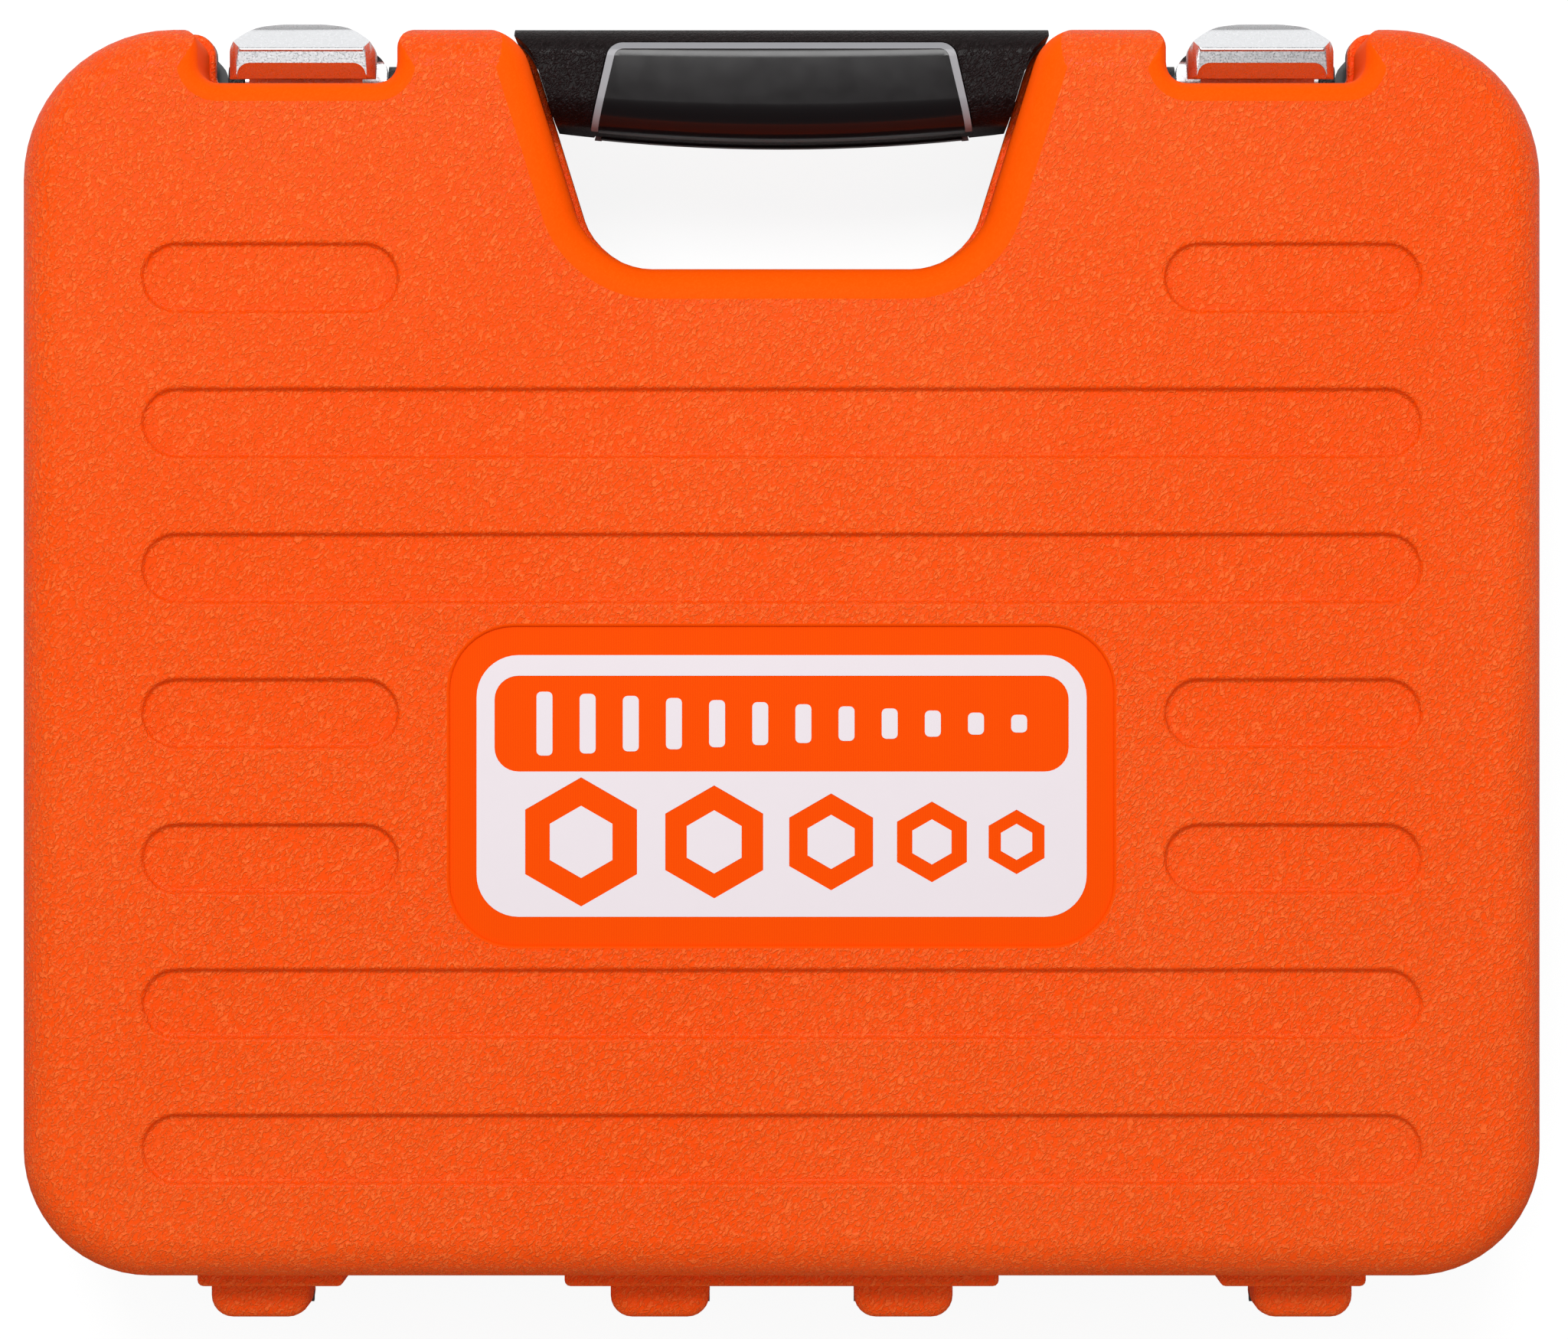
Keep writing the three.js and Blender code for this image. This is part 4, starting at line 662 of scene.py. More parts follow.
def base_barrel(x):
    """The barrel between a knuckle's ears, on a web."""
    half = BASE_BARREL_WIDTH / 2
    return [rod(KNUCKLE_BARREL, BASE_BARREL_WIDTH, (x, HINGE_Y, 0), "X"),
            block(x - half + 0.001, x + half - 0.001, HINGE_Y, PAD_Y + 1, PARTING_GAP / 2, KNUCKLE_BARREL)]


base = joined(case_half(BASE_DEPTH, (0,)), *[solid for x in KNUCKLE_X for solid in base_barrel(x)],
              *[solid for x in (-LATCH_X, LATCH_X) for solid in latch_ears(x)])
base = cut(base, rod(*hinge_bore),
           *[rod(PIN_BORE, LATCH_WIDTH + 12, (x, LATCH_PIVOT[0], BASE_DEPTH - LATCH_PIVOT[1]), "X", 16)
             for x in (-LATCH_X, LATCH_X)],
           rod(GRIP_PIN[2] + 0.25, 2 * GAP_MOUTH_HALF + 6, (0, GRIP_PIN[0], BASE_DEPTH - GRIP_PIN[1]), "X", 16))
finish_piece("base_skin", base, [DARK_GRAINED, DARK_SMOOTH], "case_base", ["base_shell"],
             BASE_PLACE)

# %% [markdown]
# The label is a print on the lid's panel: a pale field with rounded corners. Five hexagon rings in
# falling sizes and a band with a row of size bars above them show the plastic below. It is a film
# with a real edge, cut like any other solid.

# %% The label
def hexagon(flats, height, middle):
    """A six-sided bar that stands up, measured across its flats."""
    return rod(flats / math.sqrt(3), height, middle, sides=6)


print_z = LID_DEPTH - PANEL_DEPTH
film = new_solid(rectangle(*PRINT), print_z - 0.02, 0.1, segments=10)
left, right = PRINT[0] - PRINT[2] / 2, PRINT[0] + PRINT[2] / 2
band_y, band_height = PRINT[1] + 15.6, 24.0
band = new_solid(rectangle(PRINT[0], band_y, PRINT[2] - 9, band_height, 6), print_z - 1, 2, segments=8)
bars = gather(*[new_solid(rectangle(left + 17 + 10.8 * k, band_y, 4, 16 - 1.05 * k, 1.2), print_z - 2, 4, segments=4)
                for k in range(12)])
film = cut(film, cut(band, bars))
ring_x = left + 10
for flats in (28, 24.5, 21, 17.5, 14):
    middle = (ring_x + flats / math.sqrt(3), PRINT[1] - 14, print_z)
    ring = combine(hexagon(flats, 2, middle), hexagon(flats * 0.56, 3, middle), "DIFFERENCE")
    film = cut(film, ring)
    ring_x += 2 * flats / math.sqrt(3) + 3.0
finish_piece("label_print", film, [PRINT_WHITE], "lid", place=LID_PLACE)

# %% [markdown]
# ## Latches and handle
#
# A latch is a die-cast lever. Its side outline goes round the pin, up the back, over a crown and
# down to a lip that a fingertip pulls. The outline is drawn lying down, extruded across the
# latch's width, and turned so that its length stands along Z. Its plan and its front are rounded too.

# %% The latches
LATCH_CROWN = 10.1
LATCH_LIP = -4.1
LATCH_TIP = 47.8


def latch_outline():
    """The lever's side outline as (z, y, radius) about its pin."""
    r, crown, lip, tip = LATCH_BARREL, LATCH_CROWN, LATCH_LIP, LATCH_TIP
    return [(-r, -r, 3.3), (r, -r, 3.3), (r, crown - 3.2, 3), (tip - 14.5, crown - 3.2, 6),
            (tip - 6.4, lip, 0.6), (tip - 1.0, lip, 0.9), (tip - 0.5, 2.4, 0.2), (tip, 2.8, 0.8),
            (tip - 5.5, crown, 6), (-r, crown, 8)]


def across(x, y, z):
    """Turns a solid drawn lying down (its X along Z, its Y along Y) and climbing along X."""
    turn = Matrix(((0, 0, 1, 0), (0, 1, 0, 0), (1, 0, 0, 0), (0, 0, 0, 1)))
    return Matrix.Translation((x, y, z)) @ turn


def latch():
    """One lever about its pin: domed in plan, a scoop under its lip, and a catch rib behind its plate."""
    half, crown, tip, lip = LATCH_WIDTH / 2, LATCH_CROWN, LATCH_TIP, LATCH_LIP
    lever = new_solid(latch_outline(), -half, LATCH_WIDTH, segments=7)
    scoop = new_solid([(tip - 5.0, lip - 1, 0), (tip - 1.2, -0.4, 0), (tip + 1, -0.4, 0), (tip + 1, lip - 1, 0)],
                      -half, LATCH_WIDTH)
    for solid in (lever, scoop):
        solid.transform(across(0, 0, 0))
        bmesh.ops.recalc_face_normals(solid, faces=solid.faces[:])
    window = half - 2.2
    scoop = combine(scoop, new_solid([(-window, lip - 2, 0), (window, lip - 2, 0), (window, -0.5, 3.2),
                                      (-window, -0.5, 3.2)], 0, 2 * tip, segments=8), "INTERSECT")
    rib = block(-half + 4, half - 4, -4.7, 9.1, 31.3, 33.7)
    plan = new_solid([(-half, -6.1, 1), (half, -6.1, 1), (half, 4.4, 5), (half * 0.66, crown - 1.2, 12),
                      (half * 0.2, crown + 0.1, 30), (-half * 0.2, crown + 0.1, 30),
                      (-half * 0.66, crown - 1.2, 12), (-half, 4.4, 5)], -BASE_DEPTH, 2 * TOTAL_Z, segments=8)
    front = new_solid([(-half, -BASE_DEPTH, 1), (half, -BASE_DEPTH, 1), (half, tip, 5), (-half, tip, 5)],
                      -crown - 1, 2 * crown, segments=8)
    front.transform(Matrix(((1, 0, 0, 0), (0, 0, -1, 0), (0, 1, 0, 0), (0, 0, 0, 1))))
    lever = combine(combine(joined(lever, rib), plan, "INTERSECT"), front, "INTERSECT")
    return cut(lever, scoop, rod(PIN_BORE, LATCH_WIDTH + 4, (0, 0, 0), "X", 16))


for side, x in (("left", -LATCH_X), ("right", LATCH_X)):
    place = TO_FRAME @ Matrix.Translation((x, *LATCH_PIVOT))
    finish_piece(f"latch_lever_{side}", latch(), [LATCH_SILVER], f"latch_{side}_lever", [f"latch_{side}"],
                 place, sharp=50, broken=0.7)

# %% [markdown]
# The handle is a bar with a rounded section that spans the finger gap. Its underside sags a
# little, to fill the hand, and its ends follow the gap's slanted walls and rounded mouth. A cover plate wraps round
# its front edge and underside in a shallow seat, with a grey border along its top and its two
# sides. The back has the same.

# %% The handle
GRIP_TOP = TOP_Y + RIM_PROUD
GRIP_HEIGHT = 27.5
GRIP_DEPTH = 40.0
GRIP_ROUND = 8.0
GRIP_SAG = 3.0
GRIP_END_GAP = 0.25
BAR_HALF = GAP_MOUTH_HALF + 1.4
COVER_TOP_HALF = 43.5
COVER_BOTTOM_HALF = 47.5
COVER_HEIGHT = 17.5
COVER_TOP = GRIP_TOP - 4
COVER_BORDER = 1.6


def gap_half(y):
    """Half the finger gap's width at a height on the case."""
    return GAP_FLOOR_HALF + (GAP_MOUTH_HALF - GAP_FLOOR_HALF) * (y - GAP_FLOOR_Y) / (TOP_Y - GAP_FLOOR_Y)


def grip_bar(growth=0.0):
    """The handle's bar, thicker all round by a growth, its underside sheared into the shallow arc."""
    section = rectangle(0, 0, GRIP_DEPTH + 2 * growth, GRIP_HEIGHT + 2 * growth, GRIP_ROUND + growth)
    bm = new_solid(section, -BAR_HALF, 2 * BAR_HALF, segments=8)
    bm.transform(across(0, GRIP_TOP - GRIP_HEIGHT / 2, PARTING_Z))
    for step in range(1, 20):
        x = BAR_HALF * (step / 10 - 1)
        bmesh.ops.bisect_plane(bm, geom=bm.verts[:] + bm.edges[:] + bm.faces[:], plane_co=(x, 0, 0),
                               plane_no=(1, 0, 0))
    for vert in bm.verts:
        share = (GRIP_TOP - vert.co.y) / GRIP_HEIGHT
        vert.co.y += GRIP_SAG * share * (vert.co.x / GAP_FLOOR_HALF) ** 2 * 0.8
    bmesh.ops.recalc_face_normals(bm, faces=bm.faces[:])
    return bm


def cover_prism(inset, back_z):
    """The cover's outline, inset on its top and sides and open below, carried forward."""
    slope = (COVER_BOTTOM_HALF - COVER_TOP_HALF) / COVER_HEIGHT
    low = COVER_TOP - 2 * COVER_HEIGHT
    top_half = COVER_TOP_HALF - inset
    low_half = top_half + slope * 2 * COVER_HEIGHT
    return new_solid([(-low_half, low, 0), (low_half, low, 0), (top_half, COVER_TOP - inset, 4 - inset),
                      (-top_half, COVER_TOP - inset, 4 - inset)], back_z, TOTAL_Z - back_z)


COVER_BACK = PARTING_Z + 8
pin_end = gap_half(GRIP_PIN[0]) + WALL - 0.8
pin_bores = [rod(GRIP_PIN[2] + 0.25, 20, (side * (pin_end - 2.6), GRIP_PIN[0], GRIP_PIN[1]), "X", 16)
             for side in (-1, 1)]
seat = cut(cover_prism(-0.25, COVER_BACK - 0.25), grip_bar(-1.5))
back_seat = seat.copy()
back_seat.transform(Matrix.Translation((0, 0, 2 * PARTING_Z)) @ Matrix.Diagonal((1, 1, -1, 1)))
bmesh.ops.reverse_faces(back_seat, faces=back_seat.faces[:])
ends = new_solid(grow(notch(GAP), -GRIP_END_GAP - RIM_PROUD), 0, TOTAL_Z, segments=12)
bar = cut(combine(grip_bar(), ends, "INTERSECT"), seat, back_seat, *pin_bores)
finish_piece("handle_bar", bar, [GRIP_BLACK], "case_base", ["handle_grip"], broken=0.6)

FRONT = TO_FRAME
BACK = TO_FRAME @ Matrix.Translation((0, 0, 2 * PARTING_Z)) @ Matrix.Diagonal((1, 1, -1, 1))
for face_name, place in (("front", FRONT), ("back", BACK)):
    plate = combine(grip_bar(0.6), cover_prism(COVER_BORDER + 0.03, COVER_BACK), "INTERSECT")
    finish_piece(f"handle_cover_{face_name}", cut(plate, grip_bar(-1.2)), [COVER_BLACK], "case_base",
                 [f"handle_insert_{face_name}"], place)
    frame_solid = combine(grip_bar(0.8), cut(cover_prism(0, COVER_BACK + 4), cover_prism(COVER_BORDER, COVER_BACK)),
                          "INTERSECT")
    finish_piece(f"handle_border_{face_name}", cut(frame_solid, grip_bar(-1.2)), [COVER_EDGE], "case_base",
                 place=place, broken=0.2)

# %% [markdown]
# ## Inside the case
#
# The lid's inner wall is a flat liner with the same stiffening grooves as the face, pressed from
# inside. It is drawn with its visible side up, then turned over.

# %% The lid's inner wall
LINER_INSET = 3.4
LINER_Z = (54.0, 56.4)
liner_thick = LINER_Z[1] - LINER_Z[0]
liner = new_solid(grow(OUTLINE, -LINER_INSET), 0, liner_thick - 0.5, rounded_edge(0.5, 2), segments=6)
liner = cut(liner, gather(*[hollow(corners, liner_thick, 1.3, 0.5, 0.6, 0.5, segments=6)
                            for corners in groove_rectangles((0,))]))
finish_piece("liner_wall", liner, [ORANGE_SMOOTH], "lid", ["lid_inner_wall"],
             TO_FRAME @ Matrix.Translation((0, 0, LINER_Z[1])) @ Matrix.Diagonal((1, 1, -1, 1)))

# %% [markdown]
# ## Tools
#
# Each tool also gives the tray its nest. A nest is an outline at the tray's land and the height
# of its floor, one millimetre wider all round than what lies in it.

# %% Sizes of the tools and the nests' list
HALF_DRIVE = 12.7
QUARTER_DRIVE = 6.35
DRIVE_END = 0.86
PLAY = 1.0
SEAT = 0.3
LEFT_X = -178.0
nests = []


def round_nest(x, y, radius, floor):
    """A round nest for something of a radius."""
    size = 2 * (radius + PLAY)
    nests.append((rectangle(x, y, size, size, size / 2 - 0.01), floor, 10))


def trough(x0, x1, y, radius, floor):
    """A long nest for something that lies along X."""
    corner = min(3, radius)
    nests.append((rectangle((x0 + x1) / 2, y, x1 - x0 + 2 * PLAY, 2 * (radius + PLAY), corner), floor, 5))


def at(x, y, z, turn=0):
    """The place in the frame of a tool drawn about its own origin."""
    return TO_FRAME @ Matrix.Translation((x, y, z)) @ Matrix.Rotation(math.radians(turn), 4, "Z")


def shoulders(radius, z0, z1, edge):
    """The profile of a cylinder from z0 to z1 with both its edges rounded a little."""
    return [(radius - edge, z0), (radius - 0.3 * edge, z0 + 0.3 * edge), (radius, z0 + edge), (radius, z1 - edge),
            (radius - 0.3 * edge, z1 - 0.3 * edge), (radius - edge, z1)]


# %% [markdown]
# A socket stands on its drive end. It is turned from bar with a ring groove by the drive end and
# a waist where it widens. A hexagon is broached from the mouth with a conical lead-in, and a
# square from below. The broached walls are left satin by the tool.

# %% Sockets
def socket(size, outer, length, drive):
    """One socket about the middle of its drive end."""
    low, high = drive * DRIVE_END, outer / 2
    chamfer = min(1.0, high * 0.06 + 0.3)
    waist = length * 0.45
    groove = length * 0.2
    hexagon_corner = (size + 0.3) / math.sqrt(3)
    lead = min(0.7, high - chamfer - hexagon_corner - 0.1)
    body = turned([(0, 0), (low - 0.5, 0), (low, 0.5), (low, groove - 0.5), (low - 0.35, groove - 0.15),
                   (low - 0.35, groove + 0.15), (low, groove + 0.5), (low, waist - 2.4), (low, waist - 2),
                   (high, waist + 2), (high, waist + 2.5), (high, length - chamfer),
                   (high - 0.3 * chamfer, length - 0.3 * chamfer), (high - chamfer, length), (0, length)],
                  sides=48 if outer > 20 else 36)
    floor = length * 0.5
    broach = rod(hexagon_corner, length - floor + 1, (0, 0, (length + floor + 1) / 2), sides=6)
    cone = turned([(0, length - 1.1 * (lead + hexagon_corner * 0.134)), (size / 2, length - 1.1 * (lead + hexagon_corner * 0.134)),
                   (hexagon_corner + lead, length), (hexagon_corner + lead, length + 1), (0, length + 1)], sides=44)
    square = block(-drive / 2, drive / 2, -drive / 2, drive / 2, -1, floor + 0.5)
    return cut(body, painted(broach, 1), painted(square, 1), cone)


HALF_SOCKETS = ((32, 43, 44), (30, 41, 43), (27, 37, 42), (24, 33, 41), (22, 30, 40), (19, 26, 39), (17, 24, 38),
                (15, 22, 38), (14, 22, 38))
SHORT_SOCKETS = ((13, 22, 38), (12, 22, 38), (10, 22, 38))
QUARTER_SOCKETS = ((13, 18, 25), (12, 16.8, 25), (11, 15.5, 25), (10, 14, 25), (9, 13, 25), (8, 11.8, 25),
                   (7, 11.8, 25), (6, 11.8, 25))


def stand_row(kind, specs, drive, y, floor, space):
    """Stands a row of sockets side by side from the left."""
    edge = LEFT_X
    for size, outer, length in specs:
        wide = max(outer, 2 * drive * DRIVE_END)
        x = edge + wide / 2
        name = f"{kind}_{size}mm"
        finish_piece(f"{name}_turned", socket(size, outer, length, drive), [CHROME, SATIN_CHROME], "case_base",
                     [name], at(x, y, floor + SEAT))
        round_nest(x, y, wide / 2, floor)
        edge += wide + space


stand_row("socket_half", HALF_SOCKETS, HALF_DRIVE, -42, 5.3, 9)
stand_row("socket_half", SHORT_SOCKETS, HALF_DRIVE, 0, 5.3, 9)
stand_row("socket_quarter", QUARTER_SOCKETS, QUARTER_DRIVE, 68, 19.5, 6.2)

# %% [markdown]
# A ratchet lies with its drive down. The forged body is a round head, a neck that narrows in
# plan and in height, and a flat shank that runs into the grip. The cover plate sits in a recess
# below, the square turns on its hub, and the lever sits on top round the release button.

# %% Parts of a ratchet
def hull(points):
    """The smallest convex solid round some points."""
    bm = bmesh.new()
    verts = [bm.verts.new(point) for point in points]
    bmesh.ops.convex_hull(bm, input=verts)
    bmesh.ops.dissolve_limit(bm, angle_limit=0.01, verts=bm.verts[:], edges=bm.edges[:])
    bmesh.ops.recalc_face_normals(bm, faces=bm.faces[:])
    return bm


def eased(bm, width, segments=3):
    """The same solid with every edge rounded."""
    bmesh.ops.bevel(bm, geom=bm.edges[:], offset=width, offset_type="OFFSET", segments=segments, profile=0.5,
                    affect="EDGES", material=-1, clamp_overlap=True)
    bmesh.ops.recalc_face_normals(bm, faces=bm.faces[:])
    return bm


def along_x(x0, x1, width, height, edge):
    """A bar along X with a rounded section."""
    bm = new_solid(rectangle(0, 0, height, width, edge), x0, x1 - x0, segments=4)
    bm.transform(across(0, 0, 0))
    bmesh.ops.recalc_face_normals(bm, faces=bm.faces[:])
    return bm


def square_end(axis, drive, start, end):
    """A square drive from start to end with a leading chamfer, its detent ball near the end."""
    low, high = sorted((start, end))
    body = eased(block(-drive / 2, drive / 2, -drive / 2, drive / 2, low, high), drive * 0.05, 2)
    ball = bmesh.new()
    near_end = end + (start - end) / abs(start - end) * drive * 0.45
    bmesh.ops.create_uvsphere(ball, u_segments=16, v_segments=8, radius=drive * 0.16,
                              matrix=Matrix.Translation((0, drive * 0.4, near_end)))
    body = joined(body, ball)
    if axis == "X":
        body.transform(Matrix.Rotation(math.pi / 2, 4, "Y"))
    return body


def ratchet_body(s):
    """Head, neck and shank, with the seats of the other parts cut in."""
    head, half_height, shank, shank_height = s["head"], s["height"] / 2, s["shank"] / 2, s["shank_height"] / 2
    tail, neck = -(s["reach"] - s["grip"] * 0.3), -2.3 * head
    crown = turned([(0, -half_height), *shoulders(head, -half_height, half_height, head * 0.09), (0, half_height)],
                   sides=64)
    corners = [(x, y * side, z * up) for x, y, z in ((-0.15 * head, 0.9 * head, 0.8 * half_height),
                                                     (neck, shank, shank_height * 1.02))
               for side in (-1, 1) for up in (-1, 1)]
    throat = eased(hull(corners), head * 0.11)
    body = joined(crown, throat, along_x(tail, neck + 3, 2 * shank, 2 * shank_height, shank_height * 0.4))
    top, bottom = half_height, -half_height
    hub_top = top - 0.3 * s["height"]
    return cut(body, rod(s["hub"] + SEAT, hub_top - bottom + 1, (0, 0, (hub_top + bottom - 1) / 2), sides=48),
               rod(s["cover"] + SEAT, s["cover_thick"] + SEAT + 1, (0, 0, bottom + (s["cover_thick"] + SEAT - 1) / 2),
                   sides=48),
               rod(s["button"] + SEAT, top + 1, (0, 0, (top + 1) / 2), sides=32),
               turned([(0, top - 0.5 * s["lever_thick"]), (s["lever"] + SEAT, top - 0.5 * s["lever_thick"]),
                       (s["lever"] + SEAT, top - 0.4), (s["lever"] + SEAT + 0.4, top), (s["lever"] + SEAT + 0.4, top + 1),
                       (0, top + 1)], sides=48))


def ratchet_cover(s):
    """The plate that closes the head from below."""
    bottom = -s["height"] / 2
    plate = turned([(0, bottom), *shoulders(s["cover"], bottom, bottom + s["cover_thick"], 0.3),
                    (0, bottom + s["cover_thick"])], sides=48)
    screws = gather(*[rod(s["cover"] * 0.09, 0.8, (s["cover"] * 0.78 * side, 0, bottom), sides=16) for side in (-1, 1)])
    return cut(plate, rod(s["drive"] * 0.76, 6, (0, 0, bottom), sides=40), screws)


def ratchet_drive(s):
    """The hub that turns in the head and its square."""
    top, bottom = s["height"] / 2, -s["height"] / 2
    hub_bottom = bottom + s["cover_thick"] + 2 * SEAT
    hub_top = top - 0.3 * s["height"] - SEAT
    hub = turned([(0, hub_bottom), *shoulders(s["hub"], hub_bottom, hub_top, 0.4), (0, hub_top)], sides=48)
    body = joined(hub, square_end("Z", s["drive"], hub_bottom + 1, bottom - s["drive_length"]))
    bore = rod(s["button"] + SEAT, top - hub_bottom, (0, 0, hub_bottom + 3 + (top - hub_bottom) / 2), sides=32)
    return cut(body, bore)


def ratchet_lever(s):
    """The direction lever: a disc round the button, with a ribbed thumb tab."""
    top = s["height"] / 2
    seat = top - 0.5 * s["lever_thick"]
    low, high = seat + SEAT, seat + s["lever_thick"]
    disc = turned([(0, low), *shoulders(s["lever"], low, high, 0.4), (0, high)], sides=48)
    half = s["lever_width"] / 2
    tab = new_solid([(s["lever"] * 0.5, -half, 0), (s["lever_reach"], -half, half * 0.7),
                     (s["lever_reach"], half, half * 0.7), (s["lever"] * 0.5, half, 0)],
                    top + SEAT, high - top - SEAT - 0.3, rounded_edge(0.3, 2), segments=5)
    ribs = gather(*[block(x, x + 0.5, -half, half, high - 0.25, high + 1)
                    for x in (s["lever"] + (s["lever_reach"] - s["lever"]) * k / 4 for k in (1, 2, 3))])
    return cut(joined(disc, tab), rod(s["button"] + SEAT, 10, (0, 0, top), sides=32), ribs)


def ratchet_button(s):
    """The release button, slightly domed."""
    low = -s["height"] / 2 + s["cover_thick"] + 2 * SEAT + 5.5
    high = s["height"] / 2 + s["lever_thick"] / 2 + 2
    r = s["button"]
    return turned([(0, low), (r, low), (r, high - 0.9), (r - 0.25, high - 0.35), (r - 0.8, high - 0.08), (0, high)],
                  sides=32)


# %% [markdown]
# A grip is moulded in two shots: a soft black body with finger rings and an orange band let in
# near its mouth. The band is the same lathe profile, so it lies flush.

# %% Grips
def lathe_grip(points, rings, ring_depth):
    """A grip's profile from smooth points, with shallow rings pressed in at some places."""
    profile = list(points)
    for x in rings:
        k = max(i for i in range(len(profile)) if profile[i][1] <= x)
        (r0, x0), (r1, x1) = profile[k], profile[k + 1]
        r = r0 + (r1 - r0) * (x - x0) / (x1 - x0)
        profile[k + 1:k + 1] = [(r, x - 1.0), (r - ring_depth, x - 0.55), (r - ring_depth, x + 0.55), (r, x + 1.0)]
    return profile


def banded(bm, x0, x1):
    """Puts the band between two stations on the second material."""
    for face in bm.faces:
        x = face.calc_center_median().x
        face.material_index = 1 if x0 < x < x1 else 0
    return bm


def ratchet_grip(s):
    """The grip over the shank's tail."""
    r, end = s["grip_radius"], -s["reach"]
    mouth = end + s["grip"]
    waist = end + s["grip"] * 0.5
    steps = [(k / 6) for k in range(1, 6)]
    ease = [(k, k * k * (3 - 2 * k)) for k in steps]
    points = [(0, end), (0.6 * r, end), (0.86 * r, end + 0.15 * r), (0.95 * r, end + 0.4 * r),
              (r, end + 1.2 * r)]
    points += [(r - 0.14 * r * e, end + 1.2 * r + (waist - end - 1.2 * r) * k) for k, e in ease]
    points += [(0.86 * r, waist)]
    points += [(0.86 * r + 0.06 * r * e, waist + (mouth - r - waist) * k) for k, e in ease]
    points += [(0.92 * r, mouth - r), (0.78 * r, mouth), (0, mouth)]
    rings = [waist + (mouth - r - waist) * share for share in (0.1, 0.26, 0.42, 0.58)]
    bm = turned(lathe_grip(points, rings, 0.035 * r), axis="X", sides=40)
    bore = along_x(-(s["reach"] - s["grip"] * 0.3) - 1, mouth + 1, s["shank"] + 2 * SEAT, s["shank_height"] + 2 * SEAT,
                   s["shank_height"] * 0.2)
    bm = cut(bm, bore)
    return banded(bm, waist + (mouth - r - waist) * 0.74, mouth - r + 0.01)


# %% Both ratchets
HALF_RATCHET = {"name": "ratchet_half", "place": (148, -89, 35, 0), "drive": HALF_DRIVE, "drive_length": 15,
                "head": 21, "height": 22, "reach": 234, "grip": 125, "grip_radius": 15, "shank": 15,
                "shank_height": 11, "hub": 11, "cover": 16, "cover_thick": 1.4, "lever": 9.5, "lever_thick": 3,
                "lever_reach": 17, "lever_width": 8, "button": 3.4}
QUARTER_RATCHET = {"name": "ratchet_quarter", "place": (-162, 36, 37.5, 180), "drive": QUARTER_DRIVE,
                   "drive_length": 8, "head": 12.5, "height": 13, "reach": 134, "grip": 76, "grip_radius": 10.5,
                   "shank": 9, "shank_height": 7, "hub": 6, "cover": 9.2, "cover_thick": 1, "lever": 5.8,
                   "lever_thick": 2.2, "lever_reach": 10.5, "lever_width": 5, "button": 2}
RATCHET_PIECES = (("body", ratchet_body, [SATIN_CHROME], "chrome", "", "forged"),
                  ("cover", ratchet_cover, [SATIN_CHROME], "steel", "", "plate"),
                  ("drive", ratchet_drive, [CHROME], "chrome", "drive_square", "square"),
                  ("lever", ratchet_lever, [ZINC], "steel", "direction_lever", "ribbed"),
                  ("button", ratchet_button, [ZINC], "steel", "release_button", "domed"),
                  ("grip", ratchet_grip, [SOFT_BLACK, SOFT_ORANGE], "grip_plastic", "", "soft"))
for spec in (HALF_RATCHET, QUARTER_RATCHET):
    x, y, z, turn = spec["place"]
    owner = spec["name"].removeprefix("ratchet_")
    for part, make, finishes, slot, joint, word in RATCHET_PIECES:
        body = f"{owner}_{joint}" if joint else "case_base"
        finish_piece(f"{spec['name']}_{part}_{word}", make(spec), finishes, body, [f"{spec['name']}_{part}"],
                     at(x, y, z, turn))
    side = 1 if turn else -1
    grip_ends = sorted((x + side * (spec["reach"] - spec["grip"]), x + side * spec["reach"]))
    shank_ends = sorted((x, x + side * (spec["reach"] - spec["grip"])))
    floor = z - spec["height"] / 2 - SEAT
    trough(*grip_ends, y, spec["grip_radius"], z - spec["grip_radius"] - SEAT)
    trough(*shank_ends, y, spec["head"] * 0.8, floor)
    round_nest(x, y, spec["head"], floor)
    round_nest(x, y, spec["drive"] * 0.75, floor - spec["drive_length"])

# %% [markdown]
# The extension bars are turned with a ring groove behind the socket end, a slim shaft and a
# collar before the square. The universal joint's two yokes turn on a hardened cross, whose ears
# are rounded about their trunnions. The spark plug socket is a long socket on its side.

# %% Extension bars, universal joint and spark plug socket
def extension(length, drive):
    """One bar along X from the middle of its socket end."""
    wide, slim, collar = drive * 0.9, drive * 0.52, drive * 0.8
    shoulder = length - drive * 1.25
    e = drive * 0.04
    bar = turned([(0, 0), (wide - e, 0), (wide, e), (wide, drive * 1.1), (wide - e, drive * 1.16),
                  (wide - e, drive * 1.24), (wide, drive * 1.3), (wide, drive * 1.66), (wide - e, drive * 1.74),
                  (slim + e, drive * 2.26), (slim, drive * 2.34), (slim, shoulder - drive * 0.94),
                  (slim + e, shoulder - drive * 0.86), (collar - e, shoulder - drive * 0.62),
                  (collar, shoulder - drive * 0.56), (collar, shoulder - e), (collar - e, shoulder), (0, shoulder)],
                 axis="X", sides=36)
    half = drive / 2
    bar = joined(bar, square_end("X", drive, shoulder - 1, length))
    return cut(bar, painted(block(-1, drive * 1.3, -half, half, -half, half), 1))


